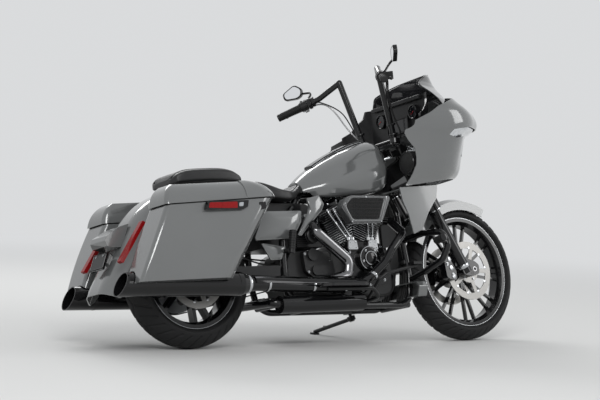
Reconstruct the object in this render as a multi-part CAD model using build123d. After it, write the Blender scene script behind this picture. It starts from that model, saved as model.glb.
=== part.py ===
from build123d import *
import math
import os

# Touring cruiser motorcycle, in millimetres. It is modelled upright, with +X forward, +Y to the
# rider's left and the origin on the ground halfway between the axles. Every piece is then moved
# into the parked pose: front wheel turned a little left, machine leaning on its side stand.

# Chassis geometry
wheelbase = 1625
head_rake = 26
fork_rake = 29.5
trail = 170
head_height = 900
steer_rest = 6.27
lean = 12.59

# Wheels: overall radius, tyre width, bead seat radius and the arc of the tread
front_radius = 344
front_width = 130
front_bead = 266.7
front_tread_arc = 68
rear_radius = 328
rear_bead = 228.6
rear_tread_arc = 92
flange_height = 14
carcass = 9

# Axles, bearings and brakes
axle_radius = 12.5
axle_bore = 7.5
running_gap = 0.06
static_gap = 0.5
moving_gap = 6
disc_radius = 150
disc_thickness = 5
front_disc_offset = 76.5
rear_disc_offset = 97.5
front_axle_half = 128
rear_axle_half = 174

# Fork and yokes
leg_spacing = 228
leg_tube_radius = 24.5
slider_radius = 28
cover_radius = 44
cover_foot = 344
axle_lead = 55
stem_radius = 16
head_tube_radius = 30
yoke_thickness = 34

# Engine: a 45 degree twin on one crank
crank_x = 120
crank_z = 380
vee_half_angle = 22.5
fin_width = 168
fin_thickness = 3.6
fin_pitch = 11
barrel_radius = 52
deck_distance = 118
head_distance = 252
rocker_distance = 312
rocker_top = 352
case_half_width = 118
gearbox_left = 98

# Bodywork
panel = 5
rim_slope = 3.34
rim_height = 641
lid_gap = 5.4
muffler_radius = 56
muffler_y = 250
muffler_z = 272
muffler_rear = 1340

# Side stand: its pivot and where the leg points when stowed, upright; its foot as parked, from
# the point on the ground halfway between the axles
stand_pivot = (232, 162, 160)
stand_stowed = (-46, 104, 122)
stand_foot_parked = (187, 436, 0)

front_axle = (wheelbase / 2, 0, front_radius)
rear_axle = (-wheelbase / 2, 0, rear_radius)
rake_sin = math.sin(math.radians(head_rake))
rake_cos = math.cos(math.radians(head_rake))
fork_sin = math.sin(math.radians(fork_rake))
fork_cos = math.cos(math.radians(fork_rake))
head_x = wheelbase / 2 + trail - head_height * rake_sin / rake_cos
head_plane = Plane(origin=(head_x, 0, head_height), x_dir=(rake_cos, 0, rake_sin), z_dir=(-rake_sin, 0,
        rake_cos))
sides = (1, -1)


# ---------------------------------------------------------------- small helpers

def soft_face(plane, points, softness=0.5):
    """A face on a plane through corner points, each corner an arc; softness 1 leaves only arcs."""
    corners = [Vector(*point) for point in points]
    count = len(corners)
    amounts = softness if isinstance(softness, (list, tuple)) else [softness] * count
    arcs = []
    for index, corner in enumerate(corners):
        back = corners[index - 1] - corner
        ahead = corners[(index + 1) % count] - corner
        cut = amounts[index] * 0.495 * min(back.length, ahead.length)
        start = corner + back.normalized() * cut
        end = corner + ahead.normalized() * cut
        half = math.radians(back.get_angle(ahead)) / 2
        inward = (back.normalized() + ahead.normalized()).normalized()
        middle = corner + inward * (cut / math.cos(half) - cut * math.tan(half))
        arcs.append((start, middle, end))
    edges = []
    for index, (start, middle, end) in enumerate(arcs):
        edges.append(Edge.make_three_point_arc(start, middle, end))
        edges.append(Edge.make_line(end, arcs[(index + 1) % count][0]))
    return plane.location * Face(Wire(edges))


def side_plane(y):
    return Plane(origin=(0, y, 0), x_dir=(1, 0, 0), z_dir=(0, -1, 0))


def cross_plane(x):
    return Plane(origin=(x, 0, 0), x_dir=(0, 1, 0), z_dir=(1, 0, 0))


def level_plane(z, slope=0, x=0):
    turn = math.radians(slope)
    along = (math.cos(turn), 0, math.sin(turn))
    up = (-math.sin(turn), 0, math.cos(turn))
    return Plane(origin=(x, 0, z), x_dir=along, z_dir=up)


def slab(plane, points, thickness, softness=0.3):
    """An outline on a plane, given thickness along the plane's normal."""
    return extrude(soft_face(plane, points, softness), thickness, dir=plane.z_dir)


def side_plate(points, y_low, y_high, softness=0.3):
    """A side-view outline (x, z) given thickness across the machine."""
    return slab(side_plane(y_high), points, y_high - y_low, softness)


def rod(start, end, radius):
    line = Line(start, end)
    return sweep(Plane(origin=start, z_dir=line % 0) * Circle(radius), path=line)


def tube(points, radius, bends):
    """A round bar through points, with a tangent arc at each inner point."""
    path = FilletPolyline(*points, radius=bends)
    return sweep(Plane(origin=path @ 0, z_dir=path % 0) * Circle(radius), path=path)


def across(x, z, radius, y_low, y_high):
    """A round bar along the Y axis."""
    return extrude(side_plane(y_high) * Pos(x, z) * Circle(radius), y_high - y_low)


def ring_across(x, z, outer, inner, y_low, y_high):
    return extrude(side_plane(y_high) * Pos(x, z) * (Circle(outer) - Circle(inner)), y_high - y_low)


def box(x_low, x_high, y_low, y_high, z_low, z_high):
    middle = ((x_low + x_high) / 2, (y_low + y_high) / 2, (z_low + z_high) / 2)
    return Pos(*middle) * Box(x_high - x_low, y_high - y_low, z_high - z_low)


def mirrored(shape):
    return mirror(shape, about=Plane.XZ)


def mirrored_point(point):
    return Vector(point.X, -point.Y, point.Z)


def leg_point(distance, y=0):
    """A point on the fork leg's centre line, measured up from axle height."""
    return (front_axle[0] - axle_lead - distance * fork_sin, y, front_radius + distance * fork_cos)


def fused(first, *others):
    for other in others:
        first = first + other
    return first


# ---------------------------------------------------------------- wheels

def revolved(axle, points_face):
    return revolve(points_face, axis=Axis(axle, (0, 1, 0)))


def wheel_plane(axle):
    """Local x runs along the axle and local y is the distance from it, going up."""
    return Plane(origin=axle, x_dir=(0, 1, 0), z_dir=(1, 0, 0))


def tyre(axle, radius, arc, bead, seat_half):
    reach = math.radians(73)
    centre = radius - arc

    def on(amount, turn):
        return (amount * math.sin(turn), centre + amount * math.cos(turn))

    inner = arc - carcass
    foot = bead + 1.6
    lip = bead + flange_height + 1.5
    edges = [
        Edge.make_three_point_arc(on(arc, -reach) + (0,), on(arc, 0) + (0,), on(arc, reach) + (0,)),
        Edge.make_line(on(arc, reach) + (0,), (seat_half, lip, 0)),
        Edge.make_line((seat_half, lip, 0), (seat_half, foot, 0)),
        Edge.make_line((seat_half, foot, 0), (seat_half - 14, foot, 0)),
        Edge.make_line((seat_half - 14, foot, 0), on(inner, reach) + (0,)),
        Edge.make_three_point_arc(on(inner, reach) + (0,), on(inner, 0) + (0,), on(inner, -reach) + (0,)),
        Edge.make_line(on(inner, -reach) + (0,), (14 - seat_half, foot, 0)),
        Edge.make_line((14 - seat_half, foot, 0), (-seat_half, foot, 0)),
        Edge.make_line((-seat_half, foot, 0), (-seat_half, lip, 0)),
        Edge.make_line((-seat_half, lip, 0), on(arc, -reach) + (0,)),
    ]
    return revolved(axle, wheel_plane(axle).location * Face(Wire(edges)))


def rim_ring(axle, bead, seat_half, well_depth):
    wall = 5
    flange = bead + flange_height
    well = bead - well_depth
    side = seat_half + 0.4
    outline = [
        (-side - wall, flange),
        (-side - wall, bead - 6),
        (-side * 0.6, well - wall),
        (side * 0.6, well - wall),
        (side + wall, bead - 6),
        (side + wall, flange),
        (side, flange),
        (side, bead),
        (side * 0.55, well),
        (-side * 0.55, well),
        (-side, bead),
        (-side, flange),
    ]
    return revolved(axle, wheel_plane(axle).location * Face(Wire.make_polygon([(*point,
            0) for point in outline])))


def hub(axle, radius, y_low, y_high):
    return ring_across(axle[0], axle[2], radius, axle_radius + running_gap, y_low, y_high)


def spoke(axle, turn, inner, outer, inner_half, outer_half, depth, skew=0):
    """A tapered blade from hub to rim; skew shifts its outer end round the rim."""
    outline = [
        (inner, -inner_half),
        (outer, skew - outer_half),
        (outer, skew + outer_half),
        (inner, inner_half),
    ]
    face = Face(Wire.make_polygon([(*point, 0) for point in outline]))
    blade = extrude(side_plane(depth / 2).location * face, depth)
    return Pos(axle[0], 0, axle[2]) * Rot(0, turn, 0) * blade


def disc(axle, y_middle, buttons):
    """A wave-edged brake disc on a bolted carrier."""
    low = y_middle - disc_thickness / 2
    high = y_middle + disc_thickness / 2
    x = axle[0]
    z = axle[2]
    band = ring_across(x, z, disc_radius, disc_radius - 34, low, high)
    carrier = ring_across(x, z, 62, axle_radius + 12, low, high)
    for index in range(buttons):
        turn = 360 / buttons * index
        arm = Pos(x, 0, z) * Rot(0, turn, 0) * box(54, disc_radius - 30, low, high, -11, 11)
        carrier = carrier + arm
    return band + carrier


front_seat_half = 43
rear_seat_half = 66
rim_well = 16


def make_front_wheel():
    well = front_bead - rim_well - 3
    rim = rim_ring(front_axle, front_bead, front_seat_half, rim_well)
    face = front_disc_offset - disc_thickness / 2
    rim = rim + hub(front_axle, 40, -face + static_gap, face - static_gap)
    pairs = 9
    for index in range(pairs):
        for lean_way in sides:
            turn = 360 / pairs * index + 4 * lean_way
            rim = rim + spoke(front_axle, turn, 34, well, 6, 4.5, 20, skew=-12 * lean_way)
    discs = [disc(front_axle, side * front_disc_offset, 5) for side in sides]
    return {
        "front_tyre": tyre(front_axle, front_radius, front_tread_arc, front_bead, front_seat_half),
        "front_rim": rim,
        "front_discs": discs,
    }


pulley_radius = 147
pulley_low = 100
pulley_high = 128


def make_rear_wheel():
    well = rear_bead - rim_well - 3
    rim = rim_ring(rear_axle, rear_bead, rear_seat_half, rim_well)
    rim = rim + hub(rear_axle, 48, -rear_disc_offset + disc_thickness / 2 + static_gap,
            pulley_low - static_gap)
    for index in range(5):
        for lean_way in sides:
            turn = 72 * index + 7 * lean_way
            rim = rim + spoke(rear_axle, turn, 42, well, 11, 9, 46, skew=-14 * lean_way)
    x = rear_axle[0]
    z = rear_axle[2]
    pulley = ring_across(x, z, pulley_radius, pulley_radius - 16, pulley_low, pulley_high)
    pulley = pulley + ring_across(x, z, pulley_radius - 14, axle_radius + running_gap, pulley_low,
            pulley_low + 12)
    for index in range(5):
        hole = Pos(x, 0, z) * Rot(0, 72 * index, 0) * across(92, 0, 24, pulley_low - 1, pulley_high)
        pulley = pulley - hole
    return {
        "rear_tyre": tyre(rear_axle, rear_radius, rear_tread_arc, rear_bead, rear_seat_half),
        "rear_rim": rim,
        "rear_disc": disc(rear_axle, -rear_disc_offset, 5),
        "rear_pulley": pulley,
    }


# ---------------------------------------------------------------- fork and steering

yoke_lift = 100
leg_top = 712


def leg_in_head(height):
    """How far behind the steering axis a fork leg is, at a height along that axis."""
    base = head_plane.to_local_coords(Vector(*leg_point(0)))
    top = head_plane.to_local_coords(Vector(*leg_point(leg_top)))
    share = (height - base.Z) / (top.Z - base.Z)
    return base.X + share * (top.X - base.X)


def make_yoke(height):
    behind = leg_in_head(height)
    half = leg_spacing / 2
    outline = [
        (30, 34),
        (30, -34),
        (behind + 10, -half - 40),
        (behind - 42, -half - 40),
        (behind - 42, -half + 42),
        (behind + 24, -30),
        (behind + 24, 30),
        (behind - 42, half - 42),
        (behind - 42, half + 40),
        (behind + 10, half + 40),
    ]
    plane = Plane(origin=head_plane.from_local_coords(Vector(0, 0, height - yoke_thickness / 2)),
                  x_dir=head_plane.x_dir, z_dir=head_plane.z_dir)
    return slab(plane, outline, yoke_thickness, 0.55)


def leg_axis_rod(side, low, high, radius):
    return rod(leg_point(low, side * leg_spacing / 2), leg_point(high, side * leg_spacing / 2), radius)


def make_fork():
    top = make_yoke(yoke_lift)
    bottom = make_yoke(-yoke_lift)
    stem_low = head_plane.from_local_coords(Vector(0, 0, -yoke_lift - yoke_thickness / 2 - 6))
    stem_high = head_plane.from_local_coords(Vector(0, 0, yoke_lift + yoke_thickness / 2 + 8))
    yokes = fused(top, bottom, rod(stem_low, stem_high, stem_radius))
    legs = []
    for side in sides:
        yokes = yokes - leg_axis_rod(side, 300, leg_top + 60, leg_tube_radius + 0.05)
        slider = leg_axis_rod(side, -18, cover_foot + 12, slider_radius)
        lug = side_plate(
            [(727, 316), (800, 306), (842, 322), (842, 366), (815, 384), (742, 404)],
            86, front_axle_half, 0.6)
        lug = lug if side > 0 else mirrored(lug)
        cover = leg_axis_rod(side, cover_foot, 474, cover_radius)
        inner_tube = leg_axis_rod(side, 460, leg_top, leg_tube_radius)
        cap = leg_axis_rod(side, leg_top - 2, leg_top + 12, leg_tube_radius - 5)
        leg = fused(slider, lug, cover, inner_tube, cap)
        hole = across(front_axle[0], front_axle[2], axle_radius + 0.05, -200, 200)
        legs.append(leg - hole)
    return {"fork_yokes": yokes, "fork_legs": legs}


def make_front_axle():
    x = front_axle[0]
    z = front_axle[2]
    shaft = across(x, z, axle_radius, -front_axle_half, front_axle_half)
    face = front_disc_offset + disc_thickness / 2 + static_gap
    for side in sides:
        low = min(side * face, side * 85.6)
        high = max(side * face, side * 85.6)
        shaft = shaft + across(x, z, 20, low, high)
    return {"front_axle": shaft - across(x, z, axle_bore, -front_axle_half - 1, front_axle_half + 1)}


fender_gap = 24
fender_front_turn = 27
fender_back_turn = 66


def make_front_fender():
    """A close blade over the front tyre with two stays down to the fork legs."""
    inner = front_radius + fender_gap
    half = front_width / 2 + 9
    skirt = 52
    outline = [
        (-half, inner - skirt),
        (-half, inner - 8),
        (-half * 0.45, inner + 10),
        (half * 0.45, inner + 10),
        (half, inner - 8),
        (half, inner - skirt),
        (half - 3, inner - skirt),
        (half - 3, inner - 10),
        (half * 0.44, inner + 6.5),
        (-half * 0.44, inner + 6.5),
        (3 - half, inner - 10),
        (3 - half, inner - skirt),
    ]
    face = wheel_plane(front_axle).location * Face(Wire.make_polygon([(*point, 0) for point in outline]))
    axis = Axis(front_axle, (0, 1, 0))
    ahead = face.rotate(axis, fender_front_turn)
    blade = revolve(ahead, axis=axis, revolution_arc=-(fender_front_turn + fender_back_turn))
    for side in sides:
        low = min(side * (half - 1), side * 85.4)
        high = max(side * (half - 1), side * 85.4)
        stay = side_plate([(590, 604), (640, 628), (672, 560), (640, 545)], low, high, 0.4)
        blade = blade + stay
    return {"front_fender": blade}


def make_calipers():
    solids = []
    for side in sides:
        block = side_plate(
            [(640, 300), (705, 288), (706, 384), (690, 420), (648, 420), (632, 380)],
            front_disc_offset - 16, front_disc_offset + 26, 0.5)
        slot = across(front_axle[0], front_axle[2], disc_radius + 3,
                      front_disc_offset - disc_thickness / 2 - 1,
                              front_disc_offset + disc_thickness / 2 + 1)
        block = block - slot
        block = block - rod(leg_point(-60, leg_spacing / 2), leg_point(330, leg_spacing / 2),
                slider_radius + 0.5)
        solids.append(block if side > 0 else mirrored(block))
    return {"front_calipers": solids}


bar_radius = 16
bar_foot = (386, 112, 1002)
bar_mitre = (292, 150, 1354)
bar_reach = (222, 243, 1288)
bar_end = (93, 407, 1225)


def make_handlebar():
    solids = []
    for side in sides:
        low = (bar_foot[0], side * bar_foot[1], bar_foot[2] - 22)
        points = [low]
        for point in (bar_mitre, bar_reach, bar_end):
            points.append((point[0], side * point[1], point[2]))
        riser = rod(points[0], points[1], bar_radius)
        elbow = Pos(*points[1]) * Sphere(bar_radius)
        arm = tube(points[1:], bar_radius - 1, 60)
        clamp = rod((low[0], low[1], low[2] + 4), (low[0], low[1], low[2] + 26), 26)
        solids.append(fused(riser, elbow, arm, clamp))
    cross = rod((393, -92, 1001), (393, 92, 1001), 11)
    return {"handlebar": [fused(solids[0], solids[1], cross)]}


grip_radius = 18.5
grip_length = 118


def make_grips():
    solids = []
    for side in sides:
        end = Vector(bar_end[0], side * bar_end[1], bar_end[2])
        reach = Vector(bar_reach[0], side * bar_reach[1], bar_reach[2])
        along = (end - reach).normalized()
        start = end - along * grip_length
        sleeve = rod(start, end + along * 8, grip_radius)
        bore = rod(start - along * 10, end + along * 0.2, bar_radius - 1 + 0.05)
        flange = rod(start, start + along * 5, grip_radius + 4)
        solids.append(sleeve + flange - bore)
    return {"grips": solids}


def make_hand_controls():
    """Switch housings, a master cylinder, the clutch perch and both levers."""
    solids = []
    for side in sides:
        end = Vector(bar_end[0], side * bar_end[1], bar_end[2])
        reach = Vector(bar_reach[0], side * bar_reach[1], bar_reach[2])
        along = (end - reach).normalized()
        base = end - along * (grip_length + 2)
        housing = rod(base - along * 34, base, 27)
        plane = Plane(origin=base - along * 16, x_dir=(1, 0, 0.2), z_dir=along)
        reservoir = plane.location * Pos(34, 4, 0) * Box(44, 38, 30 if side < 0 else 20)
        pivot = base - along * 6 + Vector(44, 0, 6)
        tip = pivot + along * 128 + Vector(4, 0, 0)
        knee = pivot + along * 40 + Vector(14, 0, 0)
        lever = tube([pivot, knee, tip], 6, 40)
        ball = Pos(tip) * Sphere(9)
        bore = rod(base - along * 60, base + along * 10, bar_radius - 1 + 0.05)
        solids.append(fused(housing, reservoir, lever, ball) - bore)
    return {"hand_controls": solids}


mirror_centre = (181, 396, 1358)
mirror_turn = 34
mirror_outline = ((-54, -2), (14, 40), (54, 12), (50, -24), (24, -38), (-44, -38))


def make_mirrors():
    solids = []
    for side in sides:
        end = Vector(bar_end[0], side * bar_end[1], bar_end[2])
        reach = Vector(bar_reach[0], side * bar_reach[1], bar_reach[2])
        along = (end - reach).normalized()
        foot = end - along * (grip_length + 18) + Vector(24, 0, 30)
        centre = Vector(mirror_centre[0], side * mirror_centre[1], mirror_centre[2])
        turn = math.radians(mirror_turn)
        plane = Plane(origin=centre, x_dir=(math.sin(turn), -side * math.cos(turn), 0),
                      z_dir=(-math.cos(turn), -side * math.sin(turn), 0))
        shell = slab(plane, mirror_outline, -18, 0.7)
        glass = slab(plane, [(x * 0.9, y * 0.88) for x, y in mirror_outline], 1.5, 0.7)
        stem = tube([foot, foot + Vector(40, 0, 46), centre + Vector(30, -side * 16, -10),
                centre + Vector(8, side * 2, 4)],
                    6, [24, 16])
        solids.append(fused(shell, glass, stem))
    return {"mirrors": solids}


def make_clutch_cable():
    route = [
        (208, 298, 1262),
        (252, 284, 1276),
        (296, 264, 1266),
        (328, 238, 1214),
        (350, 202, 1134),
        (376, 172, 1080),
        (403, 150, 1040),
    ]
    radii = []
    for index in range(1, len(route) - 1):
        back = Vector(*route[index - 1]) - Vector(*route[index])
        ahead = Vector(*route[index + 1]) - Vector(*route[index])
        turn = math.radians(180 - back.get_angle(ahead))
        radii.append(0.45 * min(back.length, ahead.length) / math.tan(turn / 2))
    print("clutch cable arcs", [round(radius) for radius in radii])
    return {"clutch_cable": tube(route, 4, radii)}


# ---------------------------------------------------------------- frame and rear end

neck_half = 22
rail_radius = 16
swing_pivot = (-345, 345)
pivot_half = 120
stand_pin = 8


def cradle(side, radius):
    """One side's tube: down from the neck, back under the engine and up to the backbone."""
    return tube(
        [(398, side * 10, 748), (402, side * 74, 640), (430, side * 96, 330), (405, side * 112, 176),
         (-330, side * 136, 176), (-352, side * 156, 330), (-352, side * 156, 560), (-196, side * 60, 700),
         (-128, side * 12, 742)],
        radius, [60, 120, 70, 90, 90, 70, 50])


def make_frame():
    head_low = head_plane.from_local_coords(Vector(0, 0, -yoke_lift + yoke_thickness / 2 + 2))
    head_high = head_plane.from_local_coords(Vector(0, 0, yoke_lift - yoke_thickness / 2 - 2))
    head = rod(head_low, head_high, head_tube_radius)
    neck = side_plate([(528, 950), (566, 872), (420, 790), (392, 724), (300, 742), (300, 832), (400, 868)],
                      -neck_half, neck_half, 0.2)
    backbone = rod((310, 0, 790), (-132, 0, 746), 25)
    frame = fused(head, neck, backbone)
    for side in sides:
        rail = tube([(-352, side * 156, 560), (-470, side * 178, 628), (-1010, side * 178, 560)], 12, 60)
        low = min(side * (pivot_half + static_gap), side * 156)
        high = max(side * (pivot_half + static_gap), side * 156)
        boss = across(swing_pivot[0], swing_pivot[1], 18, low, high)
        frame = fused(frame, cradle(side, rail_radius), rail, boss)
    for x, z, half in ((396, 176, 112), (-150, 176, 126), (-336, 196, 138)):
        frame = frame + rod((x, -half, z), (x, half, z), 15)
    x, y, z = stand_pivot
    lug = box(x - 26, x + 26, 104, y + 22, z + 2, z + 26)
    frame = frame + lug
    pivot = Vector(*stand_pivot)
    down = -stand_axis()
    pin = rod(pivot - down * 12, pivot + down * 29, stand_pin)
    head = rod(pivot + down * 28.5, pivot + down * 34, stand_pin + 5)
    frame = fused(frame, pin, head)
    shaft_low = head_plane.from_local_coords(Vector(0, 0, -200))
    shaft_high = head_plane.from_local_coords(Vector(0, 0, 200))
    return {"frame": frame - rod(shaft_low, shaft_high, stem_radius + running_gap)}


def make_swingarm():
    x, z = swing_pivot
    solids = across(x, z, 30, -pivot_half, pivot_half)
    for side in sides:
        low = min(side * 138, side * 170)
        high = max(side * 138, side * 170)
        arm = side_plate([(-384, 320), (-384, 370), (-700, 366), (-862, 352), (-862, 306), (-700, 300)],
                low, high, 0.35)
        low = min(side * 84, side * 112)
        high = max(side * 84, side * 112)
        link = side_plate([(-345, 318), (-345, 372), (-424, 370), (-424, 320)], low, high, 0.2)
        low = min(side * 84, side * 170)
        high = max(side * 84, side * 170)
        bridge = side_plate([(-386, 322), (-386, 368), (-424, 368), (-424, 322)], low, high, 0.2)
        solids = fused(solids, arm, link, bridge)
    solids = solids + across(rear_axle[0], rear_axle[2], axle_radius, -rear_axle_half, rear_axle_half)
    gap = static_gap
    inner_right = rear_disc_offset + disc_thickness / 2 + gap
    solids = solids + across(rear_axle[0], rear_axle[2], 21, -139, -inner_right)
    solids = solids + across(rear_axle[0], rear_axle[2], 21, pulley_low + 12 + gap, 139)
    for side in sides:
        low = min(side * 169, side * 182)
        high = max(side * 169, side * 182)
        solids = solids + across(rear_axle[0], rear_axle[2], 22, low, high)
    return {"swingarm": solids}


def make_shocks():
    solids = []
    for side in sides:
        lower = Vector(-700, side * 187, 352)
        upper = Vector(-560, side * 187, 570)
        along = (upper - lower).normalized()
        body = rod(lower + along * 20, lower + along * 170, 17)
        shaft = rod(lower, upper, 8)
        solids.append(body + shaft)
    return {"rear_shocks": solids}


def make_rear_caliper():
    block = side_plate([(-700, 372), (-650, 392), (-664, 462), (-716, 470), (-748, 430)],
                       -rear_disc_offset - 30, -rear_disc_offset + 18, 0.5)
    slot = across(rear_axle[0], rear_axle[2], disc_radius + 3, -rear_disc_offset - disc_thickness / 2 - 1,
                  -rear_disc_offset + disc_thickness / 2 + 1)
    bracket = side_plate([(-716, 372), (-676, 372), (-668, 420), (-708, 420)], -150,
            -rear_disc_offset - 20, 0.3)
    return {"rear_caliper": block - slot + bracket}


# (station distance back from the middle of the crown, crown x, crown z, half width, skirt depth)
fender_stations = (
    (-560, 742, 118, 70, 78),
    (-700, 760, 128, 96, 90),
    (-880, 751, 142, 130, 74),
    (-1020, 694, 150, 150, 54),
    (-1150, 560, 150, 124, 38),
    (-1243, 391, 150, 92, 26),
    (-1316, 262, 148, 70, 28),
)


def fender_section(x, z, half, skirt, tilt, grow):
    """One rib of the rear fender, square to the crown; a negative grow gives the inner surface."""
    plane = Plane(origin=(x, 0, z), x_dir=(0, 1, 0), z_dir=(math.cos(math.radians(tilt)), 0,
            math.sin(math.radians(tilt))))
    wide = half + grow
    base = -skirt + (0 if grow >= 0 else -40)
    outline = [
        (-wide, base),
        (-wide, -half * 0.42 + grow),
        (-half * 0.5, grow),
        (half * 0.5, grow),
        (wide, -half * 0.42 + grow),
        (wide, base),
    ]
    return soft_face(plane, outline, [0.05, 0.75, 0.75, 0.75, 0.75, 0.05])


def make_rear_fender():
    outer = []
    inner = []
    for x, z, half, skirt, tilt in fender_stations:
        outer.append(fender_section(x, z, half, skirt, 90 - tilt, 0))
        inner.append(fender_section(x, z, half, skirt, 90 - tilt, -panel))
    shell = loft(outer) - loft(inner)
    return {"rear_fender": shell}


plate_half = 62


def make_tail_lamps():
    """Slim upright lamps in the gap between the fender and each bag."""
    solids = []
    for side in sides:
        low = min(side * 158, side * 190)
        high = max(side * 158, side * 190)
        lamp = side_plate([(-1118, 574), (-1134, 582), (-1268, 394), (-1252, 384)], low, high, 0.3)
        solids.append(lamp)
    return {"tail_lamps": solids}


def make_plate_bracket():
    """A hooded lamp over a small blank plate carrier, both on the back of the fender."""
    hood = side_plate([(-1140, 586), (-1182, 574), (-1262, 530), (-1272, 506), (-1262, 480), (-1190, 468)],
                      -plate_half - 10, plate_half + 10, 0.3)
    carrier = side_plate([(-1249, 456), (-1259, 453), (-1291, 374), (-1282, 371)], -plate_half,
            plate_half, 0.2)
    stem = side_plate([(-1190, 452), (-1254, 448), (-1270, 410), (-1210, 404)], -18, 18, 0.2)
    for side in sides:
        bolt = Vector(-1256, side * 44, 440)
        carrier = carrier - rod(bolt - Vector(40, 0, -16), bolt + Vector(40, 0, -16), 3.2)
    crown = loft([fender_section(x, z, half, skirt, 90 - tilt, 0.6) for x, z, half, skirt,
            tilt in fender_stations])
    return {"plate_bracket": fused(hood, carrier, stem) - crown}


# ---------------------------------------------------------------- saddlebags

# (height, slope, x of rear, front; y of inner, rear outer, front outer)
bag_levels = (
    (280, 1.3, -1272, -765, 206, 372, 412),
    (400, 2, -1224, -690, 205, 388, 428),
    (rim_height, rim_slope, -1112, -520, 205, 380, 424),
)
lid_levels = (
    (rim_height + lid_gap, rim_slope, -1118, -510, 203, 386, 430),
    (690, 3.0, -1106, -530, 205, 372, 412),
    (736, 2.4, -1060, -592, 214, 332, 356),
)
lid_step = 4
lid_step_x = -700


def bag_section(level, inset, drop=0):
    z, slope, x_rear, x_front, y_in, y_rear, y_front = level
    middle = (x_rear + x_front) / 2
    half = (x_front - x_rear) / 2
    outline = [
        (-half + inset, y_in + inset),
        (-half + inset, y_rear - inset),
        (half - 60 - inset, y_front - inset),
        (half - inset, y_front - 60 - inset),
        (half - inset, y_in + inset),
    ]
    return soft_face(level_plane(z + drop, slope, middle), outline, [0.3, 0.25, 0.9, 0.9, 0.3])


def bag_shell():
    outer = loft([bag_section(level, 0) for level in bag_levels])
    inner_levels = [bag_section(bag_levels[0], panel, panel)]
    for level in bag_levels[1:]:
        inner_levels.append(bag_section(level, panel))
    lip = extrude(bag_section(bag_levels[-1], panel), 2)
    tunnel = muffler_tunnel(muffler_radius + moving_gap)
    return outer - (loft(inner_levels) - muffler_tunnel(muffler_radius + moving_gap + panel)) - tunnel - lip


def muffler_tunnel(radius):
    return rod((-1500, muffler_y, muffler_z + 6), (-500, muffler_y, muffler_z), radius)


def lid_shell():
    outer = loft([bag_section(level, 0) for level in lid_levels])
    inner_levels = [bag_section(level, panel) for level in lid_levels[:-1]]
    inner_levels.append(bag_section(lid_levels[-1], panel, -panel))
    lip = extrude(bag_section(lid_levels[0], panel), -2)
    raised = [bag_section(level, -lid_step) for level in lid_levels[:-1]]
    raised.append(bag_section(lid_levels[-1], -lid_step, lid_step))
    front = loft(raised) & box(lid_step_x, 0, 100, 600, 500, 900)
    return outer + front - loft(inner_levels) - lip


def make_bags():
    shell = bag_shell()
    lid = lid_shell()
    return {
        "saddlebag_left": shell,
        "saddlebag_right": mirrored(shell),
        "bag_lid_left": lid,
        "bag_lid_right": mirrored(lid),
    }


# ---------------------------------------------------------------- tank, seats and side panels

# (x, half width, underside height, crown height)
tank_stations = (
    (-155, 84, 722, 800),
    (-60, 142, 714, 872),
    (60, 178, 716, 936),
    (190, 190, 726, 988),
    (268, 184, 744, 1008),
    (318, 146, 786, 1004),
)


def tank_section(x, half, low, high):
    rise = high - low
    outline = [
        (-half * 0.84, low),
        (-half, low + rise * 0.36),
        (-half * 0.5, high),
        (half * 0.5, high),
        (half, low + rise * 0.36),
        (half * 0.84, low),
    ]
    return soft_face(cross_plane(x), outline, [0.5, 0.9, 0.9, 0.9, 0.9, 0.5])


def tank_body():
    return loft([tank_section(*station) for station in tank_stations])


def make_tank():
    spine_low = [(-220, 700), (400, 700), (400, 886), (-220, 778)]
    channel = side_plate(spine_low, -38, 38, 0.05)
    rockers = side_plate([(-220, 700), (400, 700), (400, 742), (-220, 742)], -96, 96, 0.05)
    return {"fuel_tank": tank_body() - channel - rockers}


console_rise = 12
regulator_fins = 6
passenger_peg = (-352, 438)
peg_post = 11
regulator_pitch = 9.6


def console_strip(half, low, high, x_low, x_high):
    """A strip that follows the tank's crown, from one height over it to another."""
    faces = []
    for x, *_, crown in tank_stations:
        if not x_low <= x <= x_high:
            continue
        outline = [(-half, crown + low), (-half * 0.9, crown + high), (half * 0.9, crown + high), (half,
                crown + low)]
        faces.append(soft_face(cross_plane(x), outline, 0.2))
    return loft(faces)


well_plane = Plane(origin=(128, 0, 966), x_dir=(0.93, 0, 0.36), z_dir=(-0.36, 0, 0.93))


def make_console():
    strip = console_strip(34, -24, console_rise, -60, 270) - Pos(0, 0, static_gap) * tank_body()
    well = well_plane.location * Pos(0, 0, 10) * Box(96, 44, 30)
    door = well_plane.location * Pos(0, 0, 8) * Box(84, 34, 6)
    return {"tank_console": strip - well, "fuel_door": door}


def make_seats():
    # x, half width, underside, top
    rider = [
        (-506, 132, 714, 776),
        (-440, 150, 704, 786),
        (-380, 164, 690, 768),
        (-300, 164, 684, 742),
        (-225, 118, 702, 746),
        (-162, 82, 752, 788),
    ]
    pillion = [
        (-908, 108, 764, 800),
        (-866, 122, 766, 832),
        (-740, 134, 772, 847),
        (-620, 134, 774, 848),
        (-556, 130, 774, 822),
        (-516, 122, 776, 800),
    ]

    def pad(stations):
        faces = []
        for x, half, low, high in stations:
            outline = [(-half, low), (-half, high - 14), (-half * 0.7, high), (half * 0.7, high), (half,
                    high - 14), (half, low)]
            faces.append(soft_face(cross_plane(x), outline, [0.5, 0.6, 0.6, 0.6, 0.6, 0.5]))
        return loft(faces)

    return {"rider_seat": pad(rider), "pillion_pad": pad(pillion)}


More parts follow.
